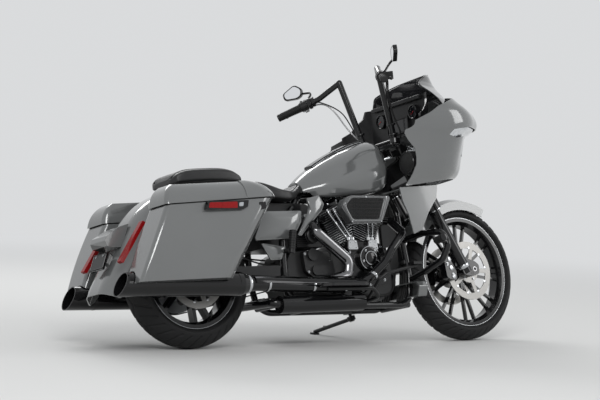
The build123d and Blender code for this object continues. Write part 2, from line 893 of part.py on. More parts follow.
def make_side_covers():
    """Three panels a side: the main cover, a small one under it and a knee panel below the tank."""
    panels = (
        # inner face, outer face, outline
        (193, 203, ((-470, 626), (-258, 630), (-264, 576), (-318, 496), (-540, 486))),
        (172.5, 180, ((-487, 476), (-349, 458), (-378, 398), (-439, 394))),
        (172, 180, ((-204, 694), (-132, 711), (-106, 667), (-124, 634), (-208, 558), (-252, 512), (-272,
                516),
                    (-210, 615), (-196, 654))),
    )
    solids = []
    for side in sides:
        for inner, outer, outline in panels:
            panel_face = side_plate(outline, min(side * inner, side * outer), max(side * inner,
                    side * outer), 0.25)
            solids.append(panel_face)
        peg = across(-215, 610, 9, min(side * 100.5, side * 173), max(side * 100.5, side * 173))
        solids[-1] = solids[-1] + peg
        low = min(side * 160, side * 190)
        high = max(side * 160, side * 190)
        solids[-2] = solids[-2] - across(passenger_peg[0], passenger_peg[1], peg_post + 3, low, high)
    solids[-1] = solids[-1] - tube(rear_header, header_radius + 3, rear_header_bends)
    return {"side_covers": solids}


def make_electrics():
    """The closed inner box behind the side covers, with the finned regulator on its right."""
    block = box(-440, -190, -100, 100, 460, 682)
    regulator = box(-262, -192, -128, -99, 462, 518)
    for index in range(regulator_fins):
        low = 464 + index * regulator_pitch
        regulator = regulator + box(-262, -192, -150, -127, low, low + 3.5)
    for side in sides:
        block = block - cradle(side, rail_radius + static_gap)
    return {"electrics_box": block + regulator}


# ---------------------------------------------------------------- engine

def cylinder_plane(side):
    turn = math.radians(vee_half_angle * side)
    along = (math.sin(turn), 0, math.cos(turn))
    return Plane(origin=(crank_x, 0, crank_z), x_dir=(math.cos(turn), 0, -math.sin(turn)), z_dir=along)


def fin_block(plane, width, depth, low, high):
    solids = []
    height = low
    while height + fin_thickness < high:
        fin = plane.location * Pos(0, 0, height + fin_thickness / 2) * Box(width, depth, fin_thickness)
        solids.append(fin)
        height += fin_pitch
    return solids


def make_cylinder(side):
    plane = cylinder_plane(side)
    barrel = plane.location * Pos(0, 0, (deck_distance + rocker_distance) / 2) * Cylinder(
        barrel_radius, rocker_distance - deck_distance)
    head = plane.location * Pos(0, 0, (head_distance + rocker_distance) / 2) * Box(
        fin_width * 0.72, fin_width * 0.8, rocker_distance - head_distance)
    fins = fin_block(plane, fin_width * 0.94, fin_width, deck_distance + 14, head_distance - 4)
    fins += fin_block(plane, fin_width * 1.04, fin_width * 1.06, head_distance + 4, rocker_distance - 6)
    block = fused(barrel, head, *fins)
    beyond = box(crank_x - 3, crank_x + 400, -200, 200, 300, 900)
    if side > 0:
        beyond = box(crank_x - 400, crank_x + 3, -200, 200, 300, 900)
    port = tube(front_header, header_radius + static_gap, front_header_bends)
    if side < 0:
        port = tube(rear_header, header_radius + static_gap, rear_header_bends)
    return block - beyond - port


def make_rockers():
    solids = []
    for side in sides:
        plane = cylinder_plane(side)
        outline = [(-78, -62), (-78, 62), (-50, 78), (50, 78), (78, 62), (78, -62), (50, -78), (-50, -78)]
        at_deck = Plane(origin=plane.from_local_coords(Vector(0, 0, rocker_distance + 0.2)),
                x_dir=plane.x_dir, z_dir=plane.z_dir)
        base = slab(at_deck, outline, 16, 0.4)
        cap_faces = []
        for height, share in ((rocker_distance + 15, 0.9), (rocker_top, 0.74)):
            level = Plane(origin=plane.from_local_coords(Vector(0, 0, height)), x_dir=plane.x_dir,
                    z_dir=plane.z_dir)
            cap_faces.append(soft_face(level, [(x * share, y * share) for x, y in outline], 0.5))
        cap = loft(cap_faces)
        solids.append(base + cap)
    return {"rocker_boxes": solids}


def make_crankcase():
    case = side_plate([(-58, 268), (-20, 214), (70, 196), (230, 196), (300, 250), (304, 400), (262, 470),
                       (212, 500), (28, 500), (-30, 470), (-58, 400)], -case_half_width, case_half_width,
                               0.35)
    gearbox = side_plate([(-306, 300), (-284, 232), (-56, 224), (-56, 440), (-130, 452), (-284, 440),
            (-306, 400)],
                         -case_half_width, gearbox_left, 0.35)
    for side in sides:
        plane = cylinder_plane(side)
        spigot = plane.location * Pos(0, 0, 60 + (deck_distance - 60) / 2) * Cylinder(barrel_radius + 14,
                deck_distance - 60)
        case = case + spigot
    for side in sides:
        plane = cylinder_plane(side)
        case = case - plane.location * Pos(0, 0, deck_distance + 30) * Box(fin_width * 1.2,
                2 * fin_width, 60)
    filter_can = rod((280, -20, 300), (372, -20, 300), 38)
    sump = side_plate([(-300, 300), (-296, 204), (-270, 197), (210, 197), (250, 210), (262, 300)], -90,
            90, 0.3)
    side_cover = side_plate([(-232, 440), (-146, 452), (-62, 402), (-50, 332), (-96, 312), (-176, 312),
            (-222, 344)],
                            -148, -case_half_width + 1, 0.4)
    oval = side_plate([(-190, 368), (-66, 374), (-58, 326), (-184, 322)], -158, -147, 0.9)
    dome = across(-178, 424, 30, -160, -147)
    return {"crankcase": fused(case, gearbox, filter_can, sump, side_cover, oval, dome)}


def make_cooler():
    """A finned oil cooler between the front down tubes."""
    solid = box(396, 428, -62, 62, 340, 470)
    for index in range(12):
        height = 346 + index * 10
        solid = solid - box(420, 430, -56, 56, height, height + 5)
    for side in sides:
        tab = box(404, 416, min(side * 61, side * 100), max(side * 61, side * 100), 384, 400)
        solid = solid + (tab - cradle(side, rail_radius + 0.2))
    return {"oil_cooler": solid}


cam_centre = (crank_x + 28, crank_z + 22)


def make_cam_cover():
    x, z = cam_centre
    plate = side_plate([(40, 300), (52, 270), (150, 262), (250, 286), (268, 380), (240, 470), (196, 486),
                        (70, 486), (36, 440)], -148, -case_half_width - static_gap, 0.4)
    dome = across(x, z, 58, -172, -147)
    ring = across(x, z, 66, -160, -147)
    boss = across(x, z, 34, -180, -171)
    lifters = []
    for lx in (52, 172):
        lifters.append(side_plate([(lx - 32, 440), (lx + 32, 440), (lx + 26, 494), (lx - 26, 494)], -168,
                -120, 0.3))
    return {"cam_cover": fused(plate, ring, dome, boss, *lifters)}


def make_pushrods():
    solids = []
    # foot x, top x, top z
    for foot_x, top_x, top_z in ((40, -42, 652), (66, -2, 656), (160, 198, 656), (184, 236, 652)):
        tube_rod = rod((foot_x, -146, 500), (top_x, -104, top_z), 8)
        collar = rod((foot_x, -146, 494.5), (foot_x, -146, 508), 12)
        solids.append(tube_rod + collar)
    return {"pushrod_tubes": solids}


cleaner_face = -246
cleaner_back = -198


def make_air_cleaner():
    outline = [(-48, 640), (-24, 684), (12, 700), (250, 700), (184, 566), (8, 560)]
    frame_ring = side_plate(outline, cleaner_face, cleaner_back, 0.25)
    recess = side_plate([(-8, 624), (32, 670), (208, 672), (158, 587), (20, 583)], cleaner_face - 1,
            cleaner_face + 16, 0.25)
    element = side_plate([(2, 624), (38, 662), (194, 664), (152, 594), (26, 592)], cleaner_face + 8,
            cleaner_face + 17, 0.3)
    backing = side_plate([(84, 640), (98, 668), (142, 668), (156, 640), (150, 580), (90, 580)],
                         cleaner_back - 0.5, -92, 0.3)
    duct = across(crank_x, 640, 18, -93, -20)
    return {"air_cleaner": fused(frame_ring - recess, backing, duct, element)}


def make_primary():
    outline = [(210, 300), (262, 360), (262, 430), (206, 480), (100, 490), (-210, 470), (-276, 420),
               (-276, 330), (-220, 272), (100, 262)]
    cover = side_plate(outline, 132, 206, 0.55)
    inner = side_plate([(-120, 290), (-120, 440), (60, 460), (200, 440), (220, 330), (180, 290)],
                       case_half_width + static_gap, 133, 0.4)
    derby = across(-150, 372, 84, 205, 220)
    stator = across(128, 378, 78, 205, 216)
    return {"primary_cover": fused(cover, inner, derby, stator)}


header_radius = 21
collector_radius = 34
catalyst_radius = 42
muffler_nose = Vector(-630, muffler_y, muffler_z + 1)
muffler_axis = (Vector(-muffler_rear, muffler_y, muffler_z + 6) - muffler_nose).normalized()
socket_depth = 80
collector_start = ((66, -214, 260), (-330, -226, 266))


def muffler_point(distance):
    return muffler_nose + muffler_axis * distance


rear_header = ((-50, -70, 608), (-118, -112, 604), (-204, -206, 543), (-8, -206, 385), (-22, -206, 312),
               (-190, -218, 274))
rear_header_bends = (36, 34, 44, 36)
front_header = ((286, -50, 606), (338, -100, 598), (342, -196, 522), (252, -214, 440), (206, -214, 376),
                (112, -214, 302), (20, -214, 262))
front_header_bends = (28, 36, 60, 60, 90)


collector_end = [mirrored_point(muffler_point(-66)), mirrored_point(muffler_point(socket_depth - 3))]


def collector(radius):
    return tube([*collector_start, *collector_end], radius, [400, 300])


def make_exhaust():
    """Two headers join on the right; a catalyst below feeds the left silencer across the frame."""
    rear = tube(rear_header, header_radius, rear_header_bends)
    front = tube(front_header, header_radius, front_header_bends)
    catalyst = rod((-430, -206, 176), (50, -206, 184), catalyst_radius)
    neck = rod((-40, -207, 186), (-40, -214, 262), 26)
    crossover = tube([(-400, -206, 176), (-452, -190, 190), (-452, 196, 206), (-520, muffler_y, 258),
                      muffler_point(20)], header_radius, [26, 44, 40])
    stub = rod(muffler_point(-40), muffler_point(socket_depth - 3), collector_radius)
    return {"exhaust_pipes": fused(collector(collector_radius), rear, front, catalyst, neck, crossover,
            stub)}


shield_radius = 29
shield_gap = 3


def make_heat_shields():
    """Half-round guards clipped over the rear header and the collector,
            clear of the pipes by an air gap."""
    header = tube(rear_header, shield_radius - shield_gap, rear_header_bends)
    upper = tube(rear_header, shield_radius, rear_header_bends) - header
    upper = upper & box(-320, 60, -262, -203, 306, 536)
    lower = collector(collector_radius + 7) - collector(collector_radius + 4)
    lower = lower & box(-600, 0, -300, -203, 272, 330)
    return {"heat_shields": [upper, lower - tube(rear_header, shield_radius + static_gap,
            rear_header_bends)]}


def make_mufflers():
    """A turned can with a tapered nose, a socket for its pipe, a hollow tail and a slash cut."""
    length = (Vector(-muffler_rear, muffler_y, muffler_z + 6) - muffler_nose).length
    socket = collector_radius + static_gap
    profile = [
        (socket, 0),
        (collector_radius + 8, 0),
        (muffler_radius, 40),
        (muffler_radius, length),
        (muffler_radius - 4, length),
        (muffler_radius - 4, length - 150),
        (0, length - 150),
        (0, socket_depth),
        (socket, socket_depth),
    ]
    plane = Plane(origin=muffler_nose, x_dir=(0, 1, 0), z_dir=muffler_axis)
    turned = Face(Wire.make_polygon([plane.from_local_coords(Vector(r, 0, d)) for r, d in profile]))
    can = revolve(turned, axis=Axis(muffler_nose, muffler_axis))
    slash = side_plate([(-1420, 150), (-1346, 200), (-1276, 350), (-1276, 420), (-1420, 420)], 150, 350, 0.02)
    left = can - slash
    return {"muffler_left": left, "muffler_right": mirrored(left)}


# ---------------------------------------------------------------- fairing

# (height, nose x, cheek x, cheek y, side x, side y, rear x, rear y)
fairing_levels = (
    (735, 670, 640, 200, 550, 296, 285, 308),
    (790, 720, 690, 204, 572, 312, 285, 320),
    (840, 768, 738, 206, 592, 332, 288, 332),
    (900, 788, 754, 206, 606, 350, 288, 340),
    (965, 808, 770, 206, 622, 370, 284, 350),
    (1005, 836, 788, 204, 634, 388, 284, 356),
    (1050, 905, 858, 222, 655, 404, 288, 362),
    (1090, 908, 858, 224, 652, 404, 294, 364),
    (1130, 880, 826, 222, 632, 396, 300, 362),
    (1190, 806, 742, 205, 580, 372, 316, 352),
    (1226, 720, 630, 190, 520, 346, 330, 340),
)
# The shell's edge in side view: over the wing to the nose, down, and back along its foot
fairing_edge = (
    (284, 1002), (337, 1053), (439, 1099), (497, 1135), (590, 1172), (680, 1203), (740, 1240), (980, 1240),
    (980, 840), (760, 806), (640, 790), (385, 751), (302, 742), (329, 774), (345, 805), (361, 845), (361,
            880),
    (352, 920), (308, 963),
)


def fairing_section(level, inset, rear_extra=0):
    z, nose, cheek_x, cheek_y, side_x, side_y, rear_x, rear_y = level
    outline = [
        (rear_x - rear_extra, -rear_y + inset),
        (side_x - inset * 0.5, -side_y + inset),
        (cheek_x - inset * 0.9, -cheek_y + inset * 0.9),
        (nose - inset, 0),
        (cheek_x - inset * 0.9, cheek_y - inset * 0.9),
        (side_x - inset * 0.5, side_y - inset),
        (rear_x - rear_extra, rear_y - inset),
    ]
    return soft_face(level_plane(z), outline, [0.05, 0.8, 0.8, 0.8, 0.8, 0.8, 0.05])


# The headlamp's band in side view, under the brow of the nose
lamp_outline = ((550, 990), (578, 1018), (700, 1038), (980, 1056), (980, 1006), (700, 1000), (604, 978))
liner_gap = 8
lamp_depth = 34
dash_x = 525
dash_plan = ((525, 0), (525, 236), (470, 300), (398, 336))
speaker_centre = (262, 862)
speaker_radius = 60


def make_fairing():
    """The outer shell, its lamp band and the inner panel with the instruments and two speakers."""
    outer = loft([fairing_section(level, 0) for level in fairing_levels])
    inner = loft([fairing_section(level, panel, 60) for level in fairing_levels])
    edge = side_plate(fairing_edge, -460, 460, 0.3)
    lamp_slot = side_plate(lamp_outline, -460, 460, 0.15)
    shell = (outer - inner) & edge
    shell = shell - lamp_slot
    liner = loft([fairing_section(level, panel + liner_gap) for level in fairing_levels])
    lamp_back = extrude(fairing_section(fairing_levels[5], panel + lamp_depth), 120, both=True)
    lamp = (liner & lamp_slot) - lamp_back
    dash = make_dash() & liner
    return {"fairing_outer": shell, "headlamp": lamp, "dash_panel": dash}


def make_dash():
    front = [(x, y) for x, y in dash_plan]
    back = [(x + 12, y) for x, y in reversed(dash_plan)]
    half = front + back
    left = slab(level_plane(790), half, 446, 0.02)
    wall = left + mirrored(left)
    above = side_plate([(300, 1240), (300, 1010), (340, 1064), (440, 1122), (500, 1190), (512, 1240)],
            -460, 460, 0.2)
    passage = side_plate([(430, 760), (620, 760), (620, 1048), (430, 1048)], -218, 218, 0.1)
    wall = wall - above - passage
    hood = side_plate([(506, 1226), (600, 1232), (600, 1224), (506, 1206)], -206, 206, 0.2)
    dash = wall + hood
    screen = box(dash_x - 14, dash_x + 2, -92, 92, 1060, 1140) - box(dash_x - 16, dash_x - 8, -84, 84,
            1068, 1132)
    dash = dash + screen
    for y in (-140, 140):
        face = Plane(origin=(dash_x - 16, y, 1150), z_dir=(1, 0, 0))
        dash = dash + extrude(face * Circle(36), 24) - extrude(face * Circle(31), 6)
    y, z = speaker_centre
    for side in sides:
        pod = rod((352, side * y, z), (500, side * y, z), speaker_radius)
        cone = rod((340, side * y, z), (362, side * y, z), speaker_radius - 8)
        dash = dash + (pod - cone)
    return dash


# (height, centre x, half width, edge x)
screen_levels = (
    (1160, 816, 300, 584),
    (1200, 797, 297, 571),
    (1270, 762, 292, 552),
    (1330, 734, 240, 556),
    (1378, 716, 190, 560),
)
# The screen's top edge from the front: half width and height
screen_edge = ((0, 1376), (110, 1366), (220, 1324), (290, 1276), (330, 1180))
screen_thickness = 5


def make_windscreen():
    faces = []
    for z, centre_x, half, edge_x in screen_levels:
        middle = edge_x + (centre_x - edge_x) * 0.72
        back = screen_thickness
        outline = [
            (edge_x, -half),
            (middle, -half * 0.72),
            (centre_x, -half * 0.3),
            (centre_x, half * 0.3),
            (middle, half * 0.72),
            (edge_x, half),
            (edge_x - back, half - 2),
            (middle - back, half * 0.7),
            (centre_x - back, half * 0.29),
            (centre_x - back, -half * 0.29),
            (middle - back, -half * 0.7),
            (edge_x - back, 2 - half),
        ]
        faces.append(soft_face(level_plane(z), outline, [0.05, 0.8, 0.8, 0.8, 0.8, 0.05] * 2))
    edge = list(screen_edge) + [(-y, z) for y, z in reversed(screen_edge[1:])]
    window = slab(cross_plane(400), edge, 500, 0.4)
    under = loft([fairing_section(level, -static_gap) for level in fairing_levels])
    under = under & side_plate(fairing_edge, -460, 460, 0.3)
    return {"windscreen": (loft(faces) & window) - under}


def make_lowers():
    """Angular shrouds each side of the frame, between the fairing and the engine guard."""
    solids = []
    for side in sides:
        low = min(side * 268, side * 276)
        high = max(side * 268, side * 276)
        shroud = side_plate([(286, 738), (520, 752), (506, 684), (452, 616), (404, 530), (350, 506),
                (330, 600),
                             (300, 672)], low, high, 0.2)
        web_low = min(side * 90, side * 270)
        web_high = max(side * 90, side * 270)
        web = side_plate([(300, 735), (420, 741), (420, 733), (300, 727)], web_low, web_high, 0.05)
        solids.append(shroud + web)
    return {"fairing_lowers": solids}


def make_chin():
    outer = [(-205, 282), (-232, 256), (-214, 206), (214, 206), (232, 256), (205, 282)]
    body = slab(cross_plane(388), outer, 52)
    hollow = slab(cross_plane(380), [(y * 0.95, 244 + (z - 244) * 0.84) for y, z in outer], 54)
    rails = fused(*[cradle(side, rail_radius + 1) for side in sides])
    return {"chin_spoiler": body - hollow - rails}


guard_radius = 16


def make_guard():
    """A loop of tube each side of the front down tubes, with a folding highway peg."""
    solids = []
    for side in sides:
        loop = tube([(414, side * 104, 500), (452, side * 210, 520), (476, side * 340, 508), (486,
                side * 366, 440),
                     (470, side * 330, 372), (446, side * 220, 330), (428, side * 118, 306)],
                    guard_radius, [60, 50, 40, 40, 60])
        arm = rod((482, side * 362, 456), (420, side * 366, 462), 11)
        peg = rod((424, side * 352, 462), (416, side * 428, 468), 17)
        solids.append(fused(loop, arm, peg))
    return {"engine_guard": solids}


def make_foot_gear():
    """Floorboards on their carrier rails and the folded passenger pegs."""
    outline = [(-230, 258), (-256, 320), (-215, 352), (-10, 352), (30, 320), (20, 258)]
    boards = []
    for side in sides:
        board = slab(level_plane(248), [(x, side * y) for x, y in outline], 12, 0.5)
        carrier = tube([(96, side * 112, 182), (96, side * 292, 196), (56, side * 300, 239), (-210,
                side * 300, 239)],
                       9.5, [30, 24])
        boards.append(fused(board, carrier) - cradle(side, rail_radius + 0.2))
        foot = (passenger_peg[0], side * 232, passenger_peg[1])
        post = rod((passenger_peg[0], side * 150, passenger_peg[1]), foot, peg_post)
        peg = rod((foot[0] - 1, foot[1], foot[2] - 16), (-338, side * 238, 530), 17)
        boards.append(fused(post, peg) - cradle(side, rail_radius + 0.2))
    return {"floorboards": boards}


def make_foot_controls():
    pedal = tube([(122, -128, 178), (122, -264, 284), (160, -288, 314), (338, -292, 350)], 8, [22, 22])
    pad = box(300, 352, -320, -270, 352, 364)
    lever = tube([(122, 128, 178), (122, 264, 280), (160, 288, 306), (320, 292, 330)], 8, [22, 22])
    toe = rod((320, 268, 330), (320, 326, 330), 11)
    right = fused(pedal, pad) - cradle(-1, rail_radius + 0.2)
    left = fused(lever, toe) - cradle(1, rail_radius + 0.2)
    return {"foot_controls": [right, left]}


def make_belt():
    """A toothed belt loop from the gearbox sprocket to the rear pulley, with its lower guard."""
    front = (-250, 360, 66)
    back = (rear_axle[0], rear_axle[2], pulley_radius)
    thick = 6
    gap = 0.8
    y_low = pulley_low + 14
    y_high = pulley_high - 2
    loops = []
    for extra in (gap + thick, gap):
        x1, z1, r1 = front[0], front[1], front[2] + extra
        x2, z2, r2 = back[0], back[1], back[2] + extra
        span = math.hypot(x1 - x2, z1 - z2)
        tilt = math.atan2(z1 - z2, x1 - x2)
        ease = math.asin((r2 - r1) / span)
        points = []
        for way in (1, -1):
            turn = tilt + way * (math.pi / 2 - ease)
            points.append(((x1 + r1 * math.cos(turn), z1 + r1 * math.sin(turn), 0),
                           (x2 + r2 * math.cos(turn), z2 + r2 * math.sin(turn), 0)))
        nose = (x1 + r1 * math.cos(tilt), z1 + r1 * math.sin(tilt), 0)
        heel = (x2 - r2 * math.cos(tilt), z2 - r2 * math.sin(tilt), 0)
        edges = [
            Edge.make_line(points[0][0], points[0][1]),
            Edge.make_three_point_arc(points[0][1], heel, points[1][1]),
            Edge.make_line(points[1][1], points[1][0]),
            Edge.make_three_point_arc(points[1][0], nose, points[0][0]),
        ]
        loops.append(extrude(side_plane(y_high).location * Face(Wire(edges)), y_high - y_low))
    sprocket = across(front[0], front[1], front[2], y_low - 4, y_high + 2)
    return {"drive_belt": [loops[0] - loops[1], sprocket]}


def make_bag_lamps():
    """Side markers set on the outer wall of each bag, just under the lid seam."""
    solids = []
    for side in sides:
        low = min(side * 405, side * 428)
        high = max(side * 405, side * 428)
        lamp = side_plate([(-930, 600), (-918, 632), (-700, 640), (-708, 612), (-736, 598)], low, high, 0.3)
        wall = loft([bag_section(level, -0.5) for level in bag_levels])
        solids.append(lamp - (wall if side > 0 else mirrored(wall)))
    return {"bag_lamps": solids}


def stand_foot():
    """The foot's place on the machine while it stands upright."""
    return (parked.inverse() * Pos(*stand_foot_parked)).position


def stand_axis():
    pivot = Vector(*stand_pivot)
    return (stand_foot() - pivot).cross(Vector(*stand_stowed) - pivot).normalized()


def make_stand():
    """The leg hangs on a pivot under the left frame rail and swings back and inward to stow."""
    pivot = Vector(*stand_pivot)
    foot = stand_foot()
    axis = stand_axis()
    ground_up = ((parked.inverse() * Pos(*stand_foot_parked) * Pos(0, 0, 1)).position - foot).normalized()
    eye_face = Plane(origin=pivot - axis * 28, z_dir=axis) * (Circle(21) - Circle(stand_pin + running_gap))
    eye = extrude(eye_face, 20)
    along = (foot - pivot).normalized()
    leg = rod(pivot - axis * 18 + along * 15, foot + ground_up * 12, 10)
    pad = extrude(Plane(origin=foot, z_dir=ground_up) * Circle(24), 9)
    tang_root = foot - along * 70
    tang = rod(tang_root + ground_up * 14, tang_root + ground_up * 14 + Vector(46, 0, 0), 5)
    return {"side_stand": fused(eye, leg, pad, tang)}


# ---------------------------------------------------------------- assembly

steered = ("fork_yokes", "fork_legs", "front_axle", "front_fender", "front_calipers", "handlebar", "grips",
           "hand_controls", "mirrors", "clutch_cable", "front_tyre", "front_rim", "front_discs")


def stand_pose():
    """Leans the upright machine and finds the lift and pitch that rest both tyres on z = 0."""
    pitch = 0.0
    lift = 0.0
    turn = head_plane.location * Rot(0, 0, steer_rest) * head_plane.location.inverse()
    wheels = (
        (rear_axle, rear_radius, rear_tread_arc, Location((0, 0, 0))),
        (front_axle, front_radius, front_tread_arc, turn),
    )
    for attempt in range(6):
        pose = Pos(0, 0, lift) * Rot(0, pitch, 0) * Rot(-lean, 0, 0)
        lows = []
        for axle, radius, arc, local in wheels:
            centre = (pose * local * Pos(*axle)).position
            tip = (pose * local * Pos(axle[0], 1, axle[2])).position
            spin_z = (tip - centre).Z
            lows.append(centre.Z - (radius - arc) * math.sqrt(1 - spin_z ** 2) - arc)
        lift -= (lows[0] + lows[1]) / 2
        pitch += math.degrees((lows[1] - lows[0]) / wheelbase)
    return pose, turn


parked, steered_turn = stand_pose()
# From the middle of the parked machine's outline on the ground to the point halfway between the axles
base_shift = Pos(89.7, -186.4, 0)


def make_all():
    nodes = {}
    for maker in (make_front_wheel, make_rear_wheel, make_fork, make_front_axle, make_front_fender,
            make_calipers,
                  make_handlebar, make_grips, make_hand_controls, make_mirrors, make_clutch_cable,
                          make_frame,
                  make_swingarm, make_shocks, make_rear_caliper, make_rear_fender, make_tail_lamps,
                  make_plate_bracket, make_bags, make_bag_lamps, make_tank, make_console, make_seats,
                  make_side_covers, make_electrics, make_crankcase, make_rockers, make_cam_cover,
                          make_pushrods,
                  make_air_cleaner, make_cooler, make_primary, make_exhaust, make_heat_shields,
                          make_mufflers, make_fairing,
                  make_windscreen, make_lowers, make_chin, make_guard, make_foot_gear, make_foot_controls,
                  make_belt, make_stand):
        nodes.update(maker())
    nodes["rear_cylinder"] = make_cylinder(-1)
    nodes["front_cylinder"] = make_cylinder(1)
    return nodes


def main():
    os.makedirs("parts", exist_ok=True)
    for name, shape in make_all().items():
        place = base_shift * parked
        if name in steered:
            place = place * steered_turn
        solids = shape if isinstance(shape, list) else [shape]
        moved = Compound(children=[place * solid for item in solids for solid in item.solids()])
        export_step(moved, "parts/" + name + ".step")


if __name__ == "__main__":
    main()
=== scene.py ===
import math

import bmesh
import bpy
import numpy as np
from mathutils import Matrix, Vector


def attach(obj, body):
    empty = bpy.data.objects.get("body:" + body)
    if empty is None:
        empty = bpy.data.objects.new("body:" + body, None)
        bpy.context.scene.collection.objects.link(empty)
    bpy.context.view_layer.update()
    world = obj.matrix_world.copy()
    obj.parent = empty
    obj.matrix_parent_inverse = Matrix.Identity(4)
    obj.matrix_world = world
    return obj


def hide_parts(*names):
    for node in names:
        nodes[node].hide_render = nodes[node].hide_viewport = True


# Looks for a parked touring cruiser: camera, studio, finishes and the fitted pieces.
# Fitted pieces are laid out in millimetres on the upright machine, X forward and Y to the rider's left,
# with the ground point halfway between the axles as origin; carried() takes them to the parked pose.

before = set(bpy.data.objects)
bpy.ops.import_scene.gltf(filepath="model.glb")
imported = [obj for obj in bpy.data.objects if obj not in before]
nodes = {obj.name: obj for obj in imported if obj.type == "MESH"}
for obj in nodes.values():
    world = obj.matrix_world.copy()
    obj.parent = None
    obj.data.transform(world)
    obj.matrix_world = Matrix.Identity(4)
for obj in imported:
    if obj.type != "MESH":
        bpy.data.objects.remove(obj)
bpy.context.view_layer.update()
print("frame loaded:", len(nodes), "nodes")

parkedPose = {
    "shift": (0.0897, -0.1864, 0.000352),
    "pitch": 0.131243,
    "lean": -12.59,
    "steerTurn": 6.27,
    "headPoint": (0.54354, 0, 0.9),
    "rake": 26,
}
steeredBodies = ("steering", "front_wheel")


def poseMatrices(pose):
    # a shift, a pitch and a lean for the machine, and for the steered part a turn about the head first
    rake = math.radians(pose["rake"])
    parked = (Matrix.Translation(pose["shift"]) @ Matrix.Rotation(math.radians(pose["pitch"]), 4, "Y")
              @ Matrix.Rotation(math.radians(pose["lean"]), 4, "X"))
    head = Matrix.Translation(pose["headPoint"])
    axis = Vector((-math.sin(rake), 0, math.cos(rake)))
    turn = Matrix.Rotation(math.radians(pose["steerTurn"]), 4, axis)
    return np.array(parked), np.array(parked @ head @ turn @ head.inverted())


parkedMatrix, steeredMatrix = poseMatrices(parkedPose)


def carried(points, body):
    # millimetres on the upright machine to metres in the shared frame: scale, turn, shift
    matrix = steeredMatrix if body in steeredBodies else parkedMatrix
    return np.asarray(points, float) / 1000 @ matrix[:3, :3].T + matrix[:3, 3]


def placed(name, data):
    # an object of this data, put in the scene
    thing = bpy.data.objects.new(name, data)
    bpy.context.scene.collection.objects.link(thing)
    return thing


# camera
viewpoint = {
    "place": (-6.55711, -9.77537, 1.22701),
    "yaw": -0.590099978,
    "pitch": -0.0449194081,
    "roll": 0.0370061079,
    "lens": 143.279,
    "sensor": 36,
    "farthest": 200,
}


def makeCamera(settings):
    # yaw and pitch give the line of sight, and roll turns the picture about it
    yaw, pitch, roll = settings["yaw"], settings["pitch"], settings["roll"]
    ahead = Vector((-math.sin(yaw) * math.cos(pitch), math.cos(yaw) * math.cos(pitch), math.sin(pitch)))
    right = ahead.cross(Vector((0, 0, 1))).normalized()
    up = right.cross(ahead)
    turnedRight = right * math.cos(roll) + up * math.sin(roll)
    turnedUp = up * math.cos(roll) - right * math.sin(roll)
    turn = Matrix((turnedRight, turnedUp, -ahead)).transposed()
    data = bpy.data.cameras.new("camera")
    data.lens = settings["lens"]
    data.sensor_width = settings["sensor"]
    data.clip_end = settings["farthest"]
    camera = placed("camera", data)
    camera.matrix_world = Matrix.Translation(settings["place"]) @ turn.to_4x4()
    bpy.context.scene.camera = camera


makeCamera(viewpoint)


# finishes
def addNode(tree, kind, values=None, feeds=None, **settings):
    # a shader node: its settings first, then its sockets' own values and the outputs that feed it
    node = tree.nodes.new("ShaderNode" + kind)
    for key, setting in settings.items():
        setattr(node, key, setting)
    for key, value in (values or {}).items():
        node.inputs[key].default_value = value
    for key, output in (feeds or {}).items():
        tree.links.new(output, node.inputs[key])
    return node


def makeFinish(name, colour, rough, metal=0.0, coat=0.0, tint=0.08, tintScale=18, grain=0, bump=0.0,
               reach=0.0005, roughSpread=0.06, stretch=(1, 1, 1), pattern="noise", shine=0.5, second=None,
               alpha=1.0):
    # colour and roughness drift with a broad noise; a fine noise or cells give the grain as bump; second
    # is (colour, height in metres): the colour taken above that height
    material = bpy.data.materials.new(name)
    material.use_nodes = True
    tree = material.node_tree
    link = tree.links.new
    sockets = tree.nodes["Principled BSDF"].inputs
    sockets["Metallic"].default_value = metal
    sockets["Coat Weight"].default_value = coat
    sockets["Coat Roughness"].default_value = 0.04
    sockets["Specular IOR Level"].default_value = shine
    sockets["Alpha"].default_value = alpha
    coords = addNode(tree, "TexCoord").outputs["Object"]
    mapped = addNode(tree, "Mapping", {"Scale": stretch}, {"Vector": coords}).outputs["Vector"]
    broad = addNode(tree, "TexNoise", {"Scale": tintScale, "Detail": 5}, {"Vector": mapped}).outputs["Fac"]
    darker, paler = ((*[min(1, part * (1 + drift)) for part in colour], 1) for drift in (-tint, tint))
    shade = addNode(tree, "Mix", {"A": darker, "B": paler}, {"Factor": broad}, data_type="RGBA")
    if second:
        upper, height = second
        parts = addNode(tree, "SeparateXYZ", None, {0: coords})
        above = addNode(tree, "Math", {1: height}, {0: parts.outputs["Z"]}, operation="GREATER_THAN")
        feeds = {"Factor": above.outputs[0], "A": shade.outputs["Result"]}
        shade = addNode(tree, "Mix", {"B": (*upper, 1)}, feeds, data_type="RGBA")
    link(shade.outputs["Result"], sockets["Base Color"])
    ends = {"To Min": max(0.02, rough - roughSpread), "To Max": min(1, rough + roughSpread)}
    link(addNode(tree, "MapRange", ends, {"Value": broad}).outputs["Result"], sockets["Roughness"])
    if grain:
        kind, output = {"noise": ("TexNoise", "Fac"), "cells": ("TexVoronoi", "Distance")}[pattern]
        fine = addNode(tree, kind, {"Scale": grain}, {"Vector": mapped}).outputs[output]
        relief = addNode(tree, "Bump", {"Strength": bump, "Distance": reach}, {"Height": fine})
        link(relief.outputs["Normal"], sockets["Normal"])
    return material


